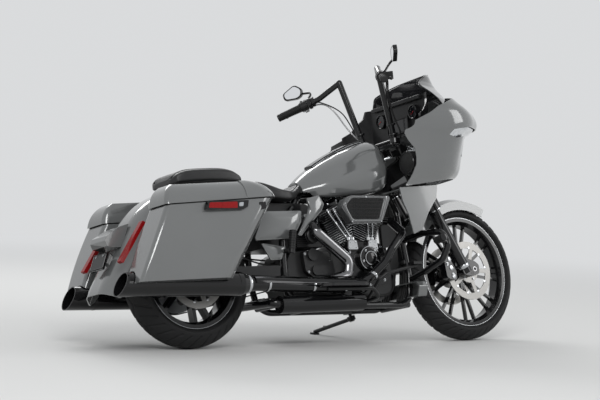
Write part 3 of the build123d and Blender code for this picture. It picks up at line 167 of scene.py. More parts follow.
paintGrey = (0.148, 0.152, 0.152)
finishTable = {
    # colour, roughness, the rest by name
    "greyPaint": (paintGrey, 0.16, dict(
        metal=0.25, coat=1.0, tint=0.06, tintScale=5, grain=900, bump=0.03, reach=0.0002, roughSpread=0.03)),
    "darkPaint": ((0.088, 0.09, 0.092), 0.24, dict(
        metal=0.25, coat=0.8, tint=0.08, tintScale=7, grain=700, bump=0.04, reach=0.0002)),
    "glossBlack": ((0.005, 0.005, 0.0055), 0.12, dict(
        coat=0.32, tint=0.25, grain=500, bump=0.03, reach=0.0002, shine=0.3)),
    "satinBlack": ((0.01, 0.01, 0.0105), 0.34, dict(
        tint=0.25, grain=1400, bump=0.1, reach=0.0003, shine=0.35)),
    "wrinkleBlack": ((0.012, 0.012, 0.0125), 0.46, dict(
        tint=0.3, grain=420, bump=0.4, reach=0.0006, pattern="cells", shine=0.35)),
    "frameBlack": ((0.008, 0.008, 0.0085), 0.2, dict(coat=0.3, tint=0.2, grain=300, bump=0.05, shine=0.35)),
    "chrome": ((0.56, 0.57, 0.58), 0.09, dict(metal=1, tint=0.05, roughSpread=0.04, grain=60, bump=0.02)),
    "brushed": ((0.34, 0.34, 0.345), 0.28, dict(
        metal=1, tint=0.14, tintScale=30, stretch=(0.2, 3, 3), grain=260, bump=0.08, reach=0.0002)),
    "groundSteel": ((0.26, 0.255, 0.245), 0.34, dict(
        metal=1, tint=0.14, tintScale=40, grain=700, bump=0.1, reach=0.0002)),
    "castAlloy": ((0.3, 0.31, 0.32), 0.42, dict(metal=0.9, tint=0.1, grain=800, bump=0.25, reach=0.0004)),
    "machined": ((0.46, 0.47, 0.48), 0.24, dict(
        metal=1, tint=0.08, tintScale=60, grain=900, bump=0.05, reach=0.0002)),
    "tyreRubber": ((0.013, 0.013, 0.0135), 0.7, dict(
        tint=0.25, tintScale=12, grain=1100, bump=0.25, reach=0.0004, shine=0.3)),
    "softRubber": ((0.01, 0.01, 0.01), 0.6, dict(tint=0.2, grain=900, bump=0.25, reach=0.0003, shine=0.3)),
    "plastic": ((0.006, 0.006, 0.0065), 0.32, dict(
        coat=0.12, tint=0.15, grain=1500, bump=0.2, reach=0.0003, pattern="cells", shine=0.22)),
    "redLens": ((0.24, 0.003, 0.004), 0.22, dict(
        coat=0.12, tint=0.35, tintScale=120, grain=420, bump=0.1, pattern="cells", shine=0.2)),
    "clearLens": ((0.42, 0.44, 0.46), 0.1, dict(
        metal=0.4, coat=1.0, tint=0.3, tintScale=80, grain=260, bump=0.15, pattern="cells")),
    "lampChrome": ((0.66, 0.68, 0.7), 0.12, dict(
        metal=0.85, coat=1.0, tint=0.35, tintScale=55, grain=120, bump=0.4, reach=0.002, pattern="cells")),
    "seatHide": ((0.011, 0.011, 0.0115), 0.36, dict(
        tint=0.3, tintScale=35, grain=520, bump=0.4, reach=0.0007, pattern="cells", shine=0.45)),
    "beltRubber": ((0.014, 0.014, 0.014), 0.66, dict(tint=0.2, grain=600, bump=0.3, shine=0.3)),
    "darkGlass": ((0.004, 0.0045, 0.006), 0.06, dict(
        coat=0.3, tint=0.3, tintScale=8, roughSpread=0.02, shine=0.3)),
    "mirrorGlass": ((0.9, 0.91, 0.93), 0.04, dict(metal=1, tint=0.03, roughSpread=0.01)),
    "darkMesh": ((0.009, 0.009, 0.009), 0.55, dict(
        tint=0.4, grain=330, bump=1.0, reach=0.002, pattern="cells", shine=0.3)),
    "bracketTwoTone": ((0.006, 0.006, 0.0065), 0.16, dict(
        coat=0.8, tint=0.15, grain=700, bump=0.03, second=(paintGrey, 0.482))),
    "shieldTwoTone": ((0.02, 0.02, 0.0205), 0.16, dict(
        metal=1, coat=0.4, tint=0.15, grain=400, bump=0.05, second=((0.19, 0.19, 0.195), 0.352))),
    "smokedScreen": ((0.012, 0.012, 0.014), 0.05, dict(
        coat=1.0, tint=0.3, tintScale=5, roughSpread=0.02, alpha=0.93)),
    "finsFront": ((0.02, 0.02, 0.021), 0.4, dict(tint=0.25, grain=600, bump=0.2)),
    "finsRear": ((0.02, 0.02, 0.021), 0.4, dict(tint=0.25, grain=600, bump=0.2)),
}
finishes = {name: makeFinish(name, *basics, **rest) for name, (*basics, rest) in finishTable.items()}

cylinderVee = {"foot": (120, 0, 380), "lean": 22.5}
finEdges = {"colour": (0.36, 0.365, 0.37, 1), "flatFrom": 0.2, "flatTo": 0.3, "outside": 0.079}


def cylinderLine(lean):
    # the direction of the front cylinder for one, of the rear cylinder for minus one
    turn = math.radians(cylinderVee["lean"] * lean)
    return math.sin(turn), 0, math.cos(turn)


def brightenFins(material, lean):
    # bright where a face looks out from the cylinder's line, black on the flats of the fins, and only
    # outside the barrel: further from the middle plane than its wall
    tree = material.node_tree
    sockets = tree.nodes["Principled BSDF"].inputs
    line = parkedMatrix[:3, :3] @ cylinderLine(lean)
    across = parkedMatrix[:3, 1]

    def shareAlong(vector, way):
        product = addNode(tree, "VectorMath", {1: way}, {0: vector}, operation="DOT_PRODUCT")
        return addNode(tree, "Math", None, {0: product.outputs["Value"]}, operation="ABSOLUTE").outputs[0]

    facing = shareAlong(addNode(tree, "NewGeometry").outputs["Normal"], line)
    ramp = {"From Min": finEdges["flatFrom"], "From Max": finEdges["flatTo"], "To Min": 1, "To Max": 0}
    rim = addNode(tree, "MapRange", ramp, {"Value": facing})
    coords = addNode(tree, "TexCoord").outputs["Object"]
    centre = carried(cylinderVee["foot"], "chassis")
    offset = addNode(tree, "VectorMath", {1: centre}, {0: coords}, operation="SUBTRACT")
    away = shareAlong(offset.outputs["Vector"], across)
    outer = addNode(tree, "Math", {1: finEdges["outside"]}, {0: away}, operation="GREATER_THAN")
    feeds = {0: rim.outputs["Result"], 1: outer.outputs[0]}
    both = addNode(tree, "Math", None, feeds, operation="MULTIPLY").outputs[0]
    feeds = {"Factor": both, "A": sockets["Base Color"].links[0].from_socket}
    shade = addNode(tree, "Mix", {"B": finEdges["colour"]}, feeds, data_type="RGBA")
    tree.links.new(shade.outputs["Result"], sockets["Base Color"])
    tree.links.new(both, sockets["Metallic"])


brightenFins(finishes["finsFront"], 1)
brightenFins(finishes["finsRear"], -1)

nodeFinish = {
    "greyPaint": "bag_lid_left bag_lid_right fairing_outer front_fender fuel_tank rear_fender saddlebag_left "
                 "saddlebag_right chin_spoiler fairing_lowers side_covers",
    "darkPaint": "air_cleaner",
    "bracketTwoTone": "plate_bracket",
    "shieldTwoTone": "heat_shields",
    "glossBlack": "cam_cover engine_guard fork_legs fork_yokes front_calipers handlebar rocker_boxes mirrors "
                  "primary_cover front_rim rear_rim tank_console muffler_left muffler_right exhaust_pipes",
    "satinBlack": "floorboards foot_controls hand_controls rear_caliper rear_shocks side_stand swingarm "
                  "oil_cooler",
    "wrinkleBlack": "crankcase",
    "frameBlack": "frame",
    "chrome": "pushrod_tubes fuel_door",
    "brushed": "front_axle clutch_cable",
    "groundSteel": "front_discs rear_disc",
    "castAlloy": "rear_pulley",
    "plastic": "dash_panel electrics_box",
    "redLens": "tail_lamps bag_lamps",
    "lampChrome": "headlamp",
    "softRubber": "grips",
    "beltRubber": "drive_belt",
    "smokedScreen": "windscreen",
    "tyreRubber": "front_tyre rear_tyre",
    "seatHide": "rider_seat pillion_pad",
    "finsFront": "front_cylinder",
    "finsRear": "rear_cylinder",
}


def dressNodes(table):
    # one finish in every slot of a node
    for finish, names in table.items():
        for name in names.split():
            piece = nodes[name]
            if not piece.material_slots:
                piece.data.materials.append(finishes[finish])
            for slot in piece.material_slots:
                slot.material = finishes[finish]


dressNodes(nodeFinish)
print("finishes on all nodes")


# making pieces: a shape is (corners, faces), and a piece is made of a list of shapes
def gridShape(grid, closeRows=False, closeColumns=False, capped=False):
    # quads between neighbours of a rows by columns grid, wrapping where it is closed, with the first and
    # last rows filled where it is capped
    rows, columns = grid.shape[:2]
    rowStart = np.arange(rows if closeRows else rows - 1)
    columnStart = np.arange(columns if closeColumns else columns - 1)
    a, b = np.meshgrid(rowStart, columnStart, indexing="ij")
    nextA, nextB = (a + 1) % rows, (b + 1) % columns
    quads = np.stack((a * columns + b, nextA * columns + b, nextA * columns + nextB, a * columns + nextB), -1)
    faces = quads.reshape(-1, 4).tolist()
    if capped:
        faces += [list(range(columns)), list(range((rows - 1) * columns, rows * columns))]
    return grid.reshape(-1, 3), faces


def joined(*parts):
    # several shapes in one: later faces count on from the earlier corners
    corners, faces, start = [], [], 0
    for points, polygons in parts:
        corners.append(points)
        faces.extend((np.asarray(face) + start).tolist() for face in polygons)
        start += len(points)
    return np.concatenate(corners), faces


def makePiece(name, parts, finish, body="chassis", replaced=(), smooth=True, sharp=40):
    # shapes made one object on its body, normals turned outwards, edges sharper than the limit left hard
    points, faces = joined(*parts)
    data = bpy.data.meshes.new(name)
    data.from_pydata(carried(points, body).tolist(), [], faces)
    piece = placed(name, data)
    work = bmesh.new()
    work.from_mesh(data)
    bmesh.ops.remove_doubles(work, verts=work.verts, dist=1e-6)
    bmesh.ops.recalc_face_normals(work, faces=work.faces)
    if smooth:
        for face in work.faces:
            face.smooth = True
        for edge in work.edges:
            edge.smooth = edge.calc_face_angle(0) < math.radians(sharp)
    work.to_mesh(data)
    work.free()
    data.materials.append(finishes[finish])
    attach(piece, body)
    if replaced:
        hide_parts(*replaced)
    return piece


def turned(centre, profile, steps=72, axis=(0, 1, 0)):
    # a profile of (distance from the axis, place along it) swept round the axis
    axis = np.asarray(axis, float) / np.linalg.norm(axis)
    first = np.cross(axis, (0.0, 0, 1) if abs(axis[2]) < 0.9 else (1.0, 0, 0))
    first /= np.linalg.norm(first)
    second = np.cross(axis, first)
    angle = np.linspace(0, 2 * math.pi, steps, endpoint=False)[:, None, None]
    profile = np.asarray(profile, float)
    ring = (np.cos(angle) * first + np.sin(angle) * second) * profile[None, :, :1]
    return gridShape(np.asarray(centre, float) + ring + axis * profile[None, :, 1:], closeRows=True)


def smoothPath(points, count):
    # a curve through the points: cubic blends of neighbours, spaced evenly in the number of points
    points = np.asarray(points, float)
    padded = np.concatenate((points[:1] * 2 - points[1:2], points, points[-1:] * 2 - points[-2:-1]))
    place = np.linspace(0, len(points) - 1 - 1e-9, count)
    index = place.astype(int)
    t = (place - index)[:, None]
    p0, p1, p2, p3 = (padded[index + k] for k in range(4))
    return 0.5 * (2 * p1 + (p2 - p0) * t + (2 * p0 - 5 * p1 + 4 * p2 - p3) * t ** 2
                  + (3 * p1 - p0 - 3 * p2 + p3) * t ** 3)


def loopPath(points, count):
    # a smooth path through the points and back to the first
    return smoothPath(np.concatenate((points, points[:1])), count)[:-1]


def along(path, outline, up=(0, 0, 1), closed=False):
    # an outline of (sideways, upwards) carried along a path, square to it
    path = np.asarray(path, float)
    outline = np.asarray(outline, float)
    if closed:
        ahead = np.roll(path, -1, 0) - np.roll(path, 1, 0)
    else:
        ahead = np.gradient(path, axis=0)
    ahead /= np.linalg.norm(ahead, axis=1, keepdims=True)
    sideways = np.cross(np.broadcast_to(np.asarray(up, float), ahead.shape), ahead)
    sideways /= np.linalg.norm(sideways, axis=1, keepdims=True)
    upwards = np.cross(ahead, sideways)
    grid = path[:, None] + sideways[:, None] * outline[None, :, :1] + upwards[:, None] * outline[None, :, 1:]
    return gridShape(grid, closeRows=closed, closeColumns=True, capped=not closed)


def straight(start, end):
    # a path of two ends and their middle
    return [start, (start + end) / 2, end]


def roundOutline(radius, sides=12):
    # points evenly round a circle
    angle = np.linspace(0, 2 * math.pi, sides, endpoint=False)
    return np.stack((np.cos(angle), np.sin(angle)), -1) * radius


def hose(points, radius, count=60, sides=12, up=(0.1, 0.3, 1)):
    # a circle carried along a smooth path through the points
    return along(smoothPath(points, count), roundOutline(radius, sides), up)


def boltHeads(places, axis, radius=6, height=4):
    # the same head at every place: a washer, a six-sided head with a broken top edge and a socket
    profile = [(radius * 1.35, -1), (radius * 1.35, 1.2), (radius, 1.3), (radius, height * 0.8),
               (radius * 0.84, height), (radius * 0.5, height), (radius * 0.46, height * 0.55),
               (0, height * 0.5)]
    return joined(*(turned(place, profile, 6, axis) for place in places))


def slab(near, far):
    # a wall between two equal outlines, with both filled
    return gridShape(np.stack((near, far)), closeColumns=True, capped=True)


def sidePlate(outline, yLow, yHigh):
    # a side-view outline made a plate between two distances from the middle plane
    outline = np.asarray(outline, float)
    return slab(np.insert(outline, 1, yLow, axis=1), np.insert(outline, 1, yHigh, axis=1))


def rounded(outline, radius=6, steps=4):
    # each corner of a closed outline replaced by a short curve: the quadratic through its two cut points
    outline = np.asarray(outline, float)
    back = np.roll(outline, 1, 0) - outline
    ahead = np.roll(outline, -1, 0) - outline
    backSize = np.linalg.norm(back, axis=1, keepdims=True)
    aheadSize = np.linalg.norm(ahead, axis=1, keepdims=True)
    cut = np.minimum(radius, 0.45 * np.minimum(backSize, aheadSize))
    start, end = outline + back / backSize * cut, outline + ahead / aheadSize * cut
    t = np.linspace(0, 1, steps)[None, :, None]
    curve = start[:, None] * (1 - t) ** 2 + outline[:, None] * 2 * t * (1 - t) + end[:, None] * t ** 2
    return curve.reshape(-1, outline.shape[1])


def bySide(points, sign):
    # left-hand points as they are for one, mirrored to the right for minus one
    return np.asarray(points, float) * (1, sign, 1)


def bothSides(build):
    # the shapes that build gives for the right side, then those for the left
    return [shape for sign in (-1, 1) for shape in build(sign)]


def turnedPair(place, profile, steps, axis):
    # the same turned form at a place on each side
    return [turned(bySide(place, sign), profile, steps, bySide(axis, sign)) for sign in (-1, 1)]


def ringPlaces(centre, radius, count, y, start=0.0):
    # points evenly round a circle about a cross axis, the first one straight up for no start
    angle = np.linspace(0, 2 * math.pi, count, endpoint=False) + start
    x, _, z = centre
    return np.stack((x + radius * np.sin(angle), np.full(count, y), z + radius * np.cos(angle)), -1)


# tyres
frontAxle, rearAxle = (812.5, 0, 344), (-812.5, 0, 328)
tyreShapes = {
    "front": {"body": "front_wheel", "centre": frontAxle, "radius": 344, "arc": 68, "bead": 266.7,
              "seatHalf": 43, "pitches": 44, "node": "front_tyre"},
    "rear": {"body": "rear_wheel", "centre": rearAxle, "radius": 328, "arc": 92, "bead": 228.6,
             "seatHalf": 66, "pitches": 34, "node": "rear_tyre"},
}
treadForm = {"crownReach": 73, "columns": 61, "insideStep": 6, "thick": 9, "beadLip": 15.7, "wallRows": 9,
             "wallSwell": 3.5, "stepsPerPitch": 12, "depth": 5.2, "slant": 1.1, "bend": 0.28,
             "bendPitch": 3.2, "stagger": 0.5, "grooveHalf": 0.1, "grooved": (0.2, 0.86), "wander": 0.12,
             "centreHalf": 0.03, "ringShares": (0.3, 0.62)}


def makeTyre(name, settings, form):
    # crown, walls and beads as one closed profile; grooves sink the crown where a slanted wave of the
    # turn and the place across it crosses a threshold; two thin rings are moulded on each wall
    arc, bead, seat, pitches = (settings[key] for key in ("arc", "bead", "seatHalf", "pitches"))
    centre, columns = settings["centre"], form["columns"]
    reach = math.radians(form["crownReach"])
    middle = settings["radius"] - arc
    across = np.linspace(-reach, reach, columns)
    outwards = np.stack((np.cos(across), np.sin(across)), -1)
    crown = outwards * arc + (middle, 0)

    def wallSpot(share):
        straightDown = crown[-1] + ((bead + form["beadLip"], seat) - crown[-1]) * share
        return straightDown + np.array((0, form["wallSwell"])) * np.sin(math.pi * share)

    wallOut = wallSpot(np.linspace(0, 1, form["wallRows"])[1:, None])
    foot = np.array(((bead + 2, seat), (bead + 2, seat - 13)))
    inside = outwards[::-form["insideStep"]] * (arc - form["thick"]) + (middle, 0)
    flip = np.array((1, -1))
    profile = np.concatenate((crown, wallOut, foot, inside, (foot * flip)[::-1], (wallOut * flip)[::-1]))
    turn = np.linspace(0, 2 * math.pi, pitches * form["stepsPerPitch"], endpoint=False)[:, None]
    share = np.zeros(len(profile))
    share[:columns] = across / reach
    out = np.abs(share)
    slant = form["slant"] * out + form["bend"] * np.sin(form["bendPitch"] * share)
    wave = (turn * pitches / (2 * math.pi) + slant + form["stagger"] * (share > 0)) % 1
    nearest, furthest = form["grooved"]
    sipe = np.exp(-((wave - 0.5) / form["grooveHalf"]) ** 4) * (out > nearest) * (out < furthest)
    centreLine = np.exp(-((share - form["wander"] * np.sin(turn * pitches / 2)) / form["centreHalf"]) ** 2)
    sunk = np.zeros((len(profile), 2))
    sunk[:columns] = outwards
    section = profile - sunk * (form["depth"] * np.maximum(sipe, centreLine))[..., None]
    x, y, z = centre
    radius, side = section[..., 0], section[..., 1]
    grid = np.stack((x + radius * np.sin(turn), y + side, z + radius * np.cos(turn)), -1)
    makePiece(name, [gridShape(grid, closeRows=True, closeColumns=True)], "tyreRubber", settings["body"],
              replaced=(settings["node"],), sharp=60)
    rings = []
    for sign in (-1, 1):
        for down in form["ringShares"]:
            far, wall = wallSpot(down) * (1, sign)
            ring = [(far - 1.2, wall), (far, wall + sign * 0.9), (far + 1.2, wall)]
            rings.append(turned(centre, ring, 120))
    makePiece(name + "_rings", rings, "tyreRubber", settings["body"])


for key, settings in tyreShapes.items():
    makeTyre(key + "_tyre_tread", settings, treadForm)
print("tyres made")

# wheels and brakes
wheelTrim = {
    "front": {"body": "front_wheel", "centre": frontAxle, "lip": 280.7, "side": 48.4, "band": 2.8},
    "rear": {"body": "rear_wheel", "centre": rearAxle, "lip": 242.8, "side": 71.4, "band": 2.2},
}


def makeRimTrim(name, settings):
    # a machined band round each rim lip, a shallow step swept round the axle, and the valve
    centre, lip, side, band = (settings[key] for key in ("centre", "lip", "side", "band"))
    step = np.array(((lip - band - 0.6, side - 0.2), (lip - band, side + 0.8), (lip - 1, side + 0.8),
                     (lip + 0.5, side - 0.6), (lip + 0.3, side - 2.6)))
    bands = [turned(centre, step * (1, sign), 160) for sign in (-1, 1)]
    makePiece(name + "_rim_bands", bands, "machined", settings["body"])
    stem = np.array(((lip - 36, 0, 0), (lip - 56, -3, 0), (lip - 66, -6, 0))) + centre
    makePiece(name + "_valve", [hose(stem, 3.2, 12, 8)], "machined", settings["body"])


for key, settings in wheelTrim.items():
    makeRimTrim(key, settings)

discBolts = {
    # side, distance from the middle, body, circle of the hub's bolts, axle
    "frontLeft": (1, 79, "front_wheel", 48, frontAxle),
    "frontRight": (-1, 79, "front_wheel", 48, frontAxle),
    "rearRight": (-1, 100, "rear_wheel", 50, rearAxle),
}
rotorPin = [(7.5, -1), (7.5, 0.5), (6, 0.8), (0, 0.8)]
for key, (sign, y, body, radius, centre) in discBolts.items():
    outwards = (0, sign, 0)
    pins = [turned(place, rotorPin, 16, outwards) for place in ringPlaces(centre, 118, 10, sign * y, 0.18)]
    hubBolts = boltHeads(ringPlaces(centre, radius, 5, sign * y, 0.1), outwards, 6, 5)
    makePiece("disc_bolts_" + key, [*pins, hubBolts], "machined", body)

axleNut = np.array(((0, 10), (9, 10), (13, 8.2), (21, 8.2), (21, 2), (26, 2), (26, 0)))
axleNuts = [turned(np.add(rearAxle, (0, sign * 174, 0)), axleNut * (1, sign), 6) for sign in (-1, 1)]
makePiece("rear_axle_nuts", axleNuts, "chrome")
pulleyBolts = boltHeads(ringPlaces(rearAxle, 52, 5, 112.5, 0.6), (0, 1, 0), 7, 6)
makePiece("pulley_bolts", [pulleyBolts], "machined", "rear_wheel")

pulleyRim = {"radius": 147.4, "sunk": 3.6, "count": 66, "low": 112, "high": 127,
             "tooth": [(-4.2, 0), (-2.4, 3.4), (2.4, 3.4), (4.2, 0)]}


def makeBeltTeeth(settings):
    # one small tooth form set round the pulley's rim: a prism per pitch, placed by its turn
    angle = np.linspace(0, 2 * math.pi, settings["count"], endpoint=False)[:, None]
    side, height = np.array(settings["tooth"]).T
    x, _, z = rearAxle
    radius = settings["radius"] - settings["sunk"] + height
    swing = angle + side / settings["radius"]
    flat = np.stack((x + radius * np.sin(swing), z + radius * np.cos(swing)), -1)
    teeth = [sidePlate(row, settings["low"], settings["high"]) for row in flat]
    makePiece("pulley_teeth", teeth, "castAlloy", "rear_wheel", smooth=False)


makeBeltTeeth(pulleyRim)


def caliperSide(sign):
    # two mounting bolts and three turned piston caps
    cap = np.array(((13, 0), (13, 2.4), (9, 3.4), (0, 3.4))) * (1, sign)
    bolts = boltHeads([(648, sign * 102.6, 372), (680, sign * 102.6, 318)], (0, sign, 0), 7, 6)
    return [bolts, *(turned((x, sign * 102.4, z), cap, 24) for x, z in ((668, 396), (674, 352), (684, 310)))]


makePiece("caliper_bolts", bothSides(caliperSide), "machined", "steering")
rearCaliperBolts = boltHeads([(-672, -128, 440), (-724, -128, 428)], (0, -1, 0), 7, 5)
makePiece("rear_caliper_bolts", [rearCaliperBolts], "machined")
print("wheel fittings made")

# hoses, wires and the clutch cable
forkHose = [(656, 96, 418), (640, 104, 470), (606, 150, 560), (560, 160, 650), (520, 152, 730),
            (508, 100, 770)]
hoseRoutes = {
    "brake_hose_left": ("steering", 4.2, forkHose),
    "brake_hose_right": ("steering", 4.2, bySide(forkHose, -1)),
    "brake_hose_bar": ("steering", 4.2, [(226, -262, 1280), (268, -240, 1270), (318, -178, 1200),
                                         (366, -150, 1110), (398, -146, 1040), (420, -120, 1010)]),
    "throttle_wire": ("steering", 3.4, [(206, -276, 1266), (240, -262, 1268), (300, -180, 1180),
                                        (356, -134, 1070), (404, -96, 1022)]),
    "switch_wire": ("steering", 3.2, [(208, 268, 1266), (244, 250, 1272), (300, 166, 1200),
                                      (356, 128, 1070), (404, 92, 1022)]),
    "rear_brake_hose": ("chassis", 4.0, [(-700, -118, 466), (-640, -124, 450), (-540, -130, 404),
                                         (-440, -128, 380), (-380, -120, 390)]),
    "oil_line_right": ("chassis", 6.0, [(20, -126, 300), (60, -134, 250), (180, -132, 222), (300, -110, 240),
                                        (380, -52, 350), (398, -50, 372)]),
    "oil_line_left": ("chassis", 6.0, [(240, 104, 236), (300, 92, 240), (350, 74, 290), (390, 50, 350),
                                       (398, 50, 372)]),
    "plug_lead_front": ("chassis", 4.6, [(214, -88, 640), (190, -96, 668), (150, -84, 690), (120, -40, 700)]),
    "plug_lead_rear": ("chassis", 4.6, [(28, -88, 640), (52, -96, 668), (92, -84, 690), (118, -40, 700)]),
    "lamp_loom": ("chassis", 5.0, [(-420, 104, 660), (-520, 150, 640), (-700, 160, 650), (-900, 158, 610)]),
}
for key, (body, radius, points) in hoseRoutes.items():
    makePiece(key, [hose(points, radius, 70, 10)], "softRubber", body)

clutchRoute = {
    "points": [(208, 298, 1262), (252, 284, 1276), (296, 264, 1266), (328, 238, 1214), (350, 202, 1134),
               (376, 172, 1080), (403, 150, 1040)],
    "radius": 0.004,
    "length": 0.366,
}


def makeClutchCable(settings):
    # a thin round curve from the clutch lever into the steering head
    places = carried(settings["points"], "steering")
    curve = bpy.data.curves.new("clutch_cable_line", "CURVE")
    curve.dimensions = "3D"
    curve.bevel_depth = settings["radius"]
    curve.bevel_resolution = 4
    curve.use_fill_caps = True
    spline = curve.splines.new("NURBS")
    spline.points.add(len(places) - 1)
    spline.points.foreach_set("co", np.insert(places, 3, 1, axis=1).ravel())
    spline.order_u = 3
    spline.use_endpoint_u = True
    spline.resolution_u = 16
    piece = placed("clutch_cable_line", curve)
    curve.materials.append(finishes["brushed"])
    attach(piece, "steering")
    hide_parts("clutch_cable")


makeClutchCable(clutchRoute)
print("hoses and cable made")

# seats
seatPads = {
    # stations: x, half width, underside, crown
    "rider_seat": {
        "stations": [
            (-504, 126, 716, 770), (-470, 142, 710, 781), (-430, 152, 702, 783), (-380, 162, 692, 767),
            (-330, 164, 686, 750), (-280, 158, 686, 742), (-240, 132, 696, 743), (-205, 104, 716, 757),
            (-164, 80, 750, 786)],
        "channels": (-440, -395, -350, -305, -262), "seam": 0.74,
    },
    "pillion_pad": {
        "stations": [
            (-906, 100, 768, 796), (-880, 118, 767, 822), (-830, 128, 769, 840), (-740, 133, 774, 847),
            (-650, 134, 776, 849), (-590, 132, 776, 843), (-550, 127, 777, 824), (-518, 118, 778, 800)],
        "channels": (-846, -790, -734, -678, -622), "seam": 0.76,
    },
}
padForm = {"rows": 132, "columns": 96, "power": 0.36, "reach": 26, "swell": 3.0, "groove": 5.0,
           "grooveHalf": 4.5, "seamDepth": 3.2, "seamHalf": 0.035, "welt": 1.9, "fill": 0.9}


def makePad(name, settings, form):
    # width, underside and crown follow the stations; the section is a rounded box whose power eases the
    # corners, the crown swells between sewn channels, and a welt runs where the top panel meets the side
    stations, channels = np.array(settings["stations"], float), np.array(settings["channels"])
    seamAt, reach = settings["seam"], form["reach"]
    line = smoothPath(stations, form["rows"])
    share = np.linspace(0, 2 * math.pi, form["columns"], endpoint=False)[None]
    x, half, low, high = (line[:, k, None] for k in range(4))
    wide = np.sign(np.cos(share)) * np.abs(np.cos(share)) ** form["power"]
    tall = np.sign(np.sin(share)) * np.abs(np.sin(share)) ** (form["power"] * 1.25)
    ends = np.clip(np.minimum(x - stations[0, 0], stations[-1, 0] - x) / reach, 0, 1)
    ease = np.sqrt(1 - (1 - ends) ** 2) * 0.3 + 0.7
    side = half * wide * ease
    across = np.abs(wide)
    top = np.clip(tall, 0, 1) ** 2 * np.clip(1 - across ** 6, 0, 1)
    inner = across < seamAt
    apart = np.min(np.abs(x - channels), axis=1, keepdims=True)
    groove = np.exp(-(apart / form["grooveHalf"]) ** 2) * inner
    swell = np.clip(apart / reach, 0, 1) * form["swell"]
    seam = np.exp(-((across - seamAt) / form["seamHalf"]) ** 2)
    up = (low + high) / 2 + (high - low) / 2 * tall * ease
    up = up + top * (swell * inner - form["groove"] * groove - form["seamDepth"] * seam)
    grid = np.stack((np.broadcast_to(x, side.shape), side, up), -1)
    piece = makePiece(name + "_cover", [gridShape(grid, closeColumns=True, capped=True)], "seatHide",
                      replaced=(name,), sharp=75)
    subdivided = piece.modifiers.new("round", "SUBSURF")
    subdivided.levels = subdivided.render_levels = 1
    x, half, _, high = line[4:-4].T
    cord = roundOutline(form["welt"], 8)
    welts = [along(np.stack((x, sign * half * seamAt * 0.985, high - 1.2), -1), cord) for sign in (-1, 1)]
    makePiece(name + "_welts", welts, "softRubber")


for key, settings in seatPads.items():
    makePad(key, settings, padForm)
print("seats made")

# engine fittings
engineBolts = {
    # spots, distance from the middle, side, radius
    "cam_cover_bolts": (
        [(54, 290), (150, 272), (240, 296), (258, 376), (232, 462), (44, 436)], -148.4, -1, 5.5),
    "gear_cover_bolts": (
        [(-222, 428), (-150, 440), (-76, 396), (-64, 340), (-104, 322), (-206, 340)], -148.4, -1, 5),
    "primary_bolts": (
        [(232, 332), (250, 420), (196, 462), (60, 478), (-120, 466), (-236, 446), (-262, 360), (-214, 292),
         (-60, 274), (90, 276)], 206.2, 1, 5.5),
}
for key, (spots, y, sign, radius) in engineBolts.items():
    makePiece(key, [boltHeads([(x, y, z) for x, z in spots], (0, sign, 0), radius, 5)], "chrome")

coverTrim = {
    "camInner": (148, -180, 402),
    "camOuter": (148, -172, 402),
    "derby": (-150, 220, 372),
    "clutchEnd": (128, 216, 378),
}
coverForms = {
    # finish, then each part's place, profile and steps round
    "cam_cover_dome": ("glossBlack", [
        ("camInner", [(30, 0), (30, -1.6), (26, -3), (0, -3)], 5),
        ("camOuter", [(57, -0.2), (57, -2.2), (52, -3.2), (40, -3.2), (38, -0.2)], 72)]),
    "cam_cover_ring": ("chrome", [
        ("camInner", [(34.6, 0.6), (34.6, -1.2), (31.6, -1.2), (31.6, 0.6)], 72),
        ("camOuter", [(60, 0), (60, -1.8), (57.4, -1.8), (57.4, 0)], 96)]),
    "primary_discs": ("glossBlack", [
        ("derby", [(84, -14), (84, 0), (78, 3.4), (60, 4.4), (58, 1.8), (30, 1.8), (27, 4), (0, 4)], 72),
        ("clutchEnd", [(78, -10), (78, 0), (72, 3), (46, 4), (44, 1.6), (0, 1.6)], 72)]),
}
coverScrews = {
    # place, circle, number, distance from the middle, first turn, side
    "cam_dome_bolts": ("camInner", 46, 5, -175.4, math.radians(36), -1),
    "derby_bolts": ("derby", 69, 6, 224, 0, 1),
}


def makeCoverForms(*names):
    # discs and rings turned about their places on the covers
    for name in names:
        finish, forms = coverForms[name]
        makePiece(name, [turned(coverTrim[place], profile, steps) for place, profile, steps in forms], finish)


def makeCoverScrews(name):
    # small heads evenly round a circle
    place, circle, number, y, start, sign = coverScrews[name]
    places = ringPlaces(coverTrim[place], circle, number, y, start)
    makePiece(name, [boltHeads(places, (0, sign, 0), 4.5, 3.5)], "chrome")


makeCoverForms("cam_cover_dome", "cam_cover_ring")
makeCoverScrews("cam_dome_bolts")
makeCoverForms("primary_discs")
makeCoverScrews("derby_bolts")

tappetTrim = {
    "at": (52, 172),
    "plate": ((-29, 446), (29, 446), (23, 491), (-23, 491)),
    "screws": ((-19, 455), (19, 455), (-15, 482), (15, 482)),
    "inner": -167.6, "outer": -171.5,
}


def makeTappetTrim(settings):
    # a plate with rounded corners over each pair of tappets, and four screws on it
    plates = [rounded(np.add(settings["plate"], (x, 0)), 7) for x in settings["at"]]
    plates = [sidePlate(plate, settings["outer"], settings["inner"]) for plate in plates]
    makePiece("tappet_plates", plates, "chrome", smooth=False)
    outer = settings["outer"] - 0.1
    screws = [(x + forward, outer, z) for x in settings["at"] for forward, z in settings["screws"]]
    makePiece("tappet_bolts", [boltHeads(screws, (0, -1, 0), 3.6, 3)], "machined")


makeTappetTrim(tappetTrim)

pushrodTrim = {
    # x of the foot, x and z of the top
    "tubes": ((40, -42, 652), (66, -2, 656), (160, 198, 656), (184, 236, 652)),
    "footY": -146.0, "footZ": 500, "topY": -104.0,
    "collar": [(8, -3), (10.4, -3), (11, 0), (10.4, 3), (8, 3)],
    "shares": (0.1, 0.5, 0.55, 0.9),
}


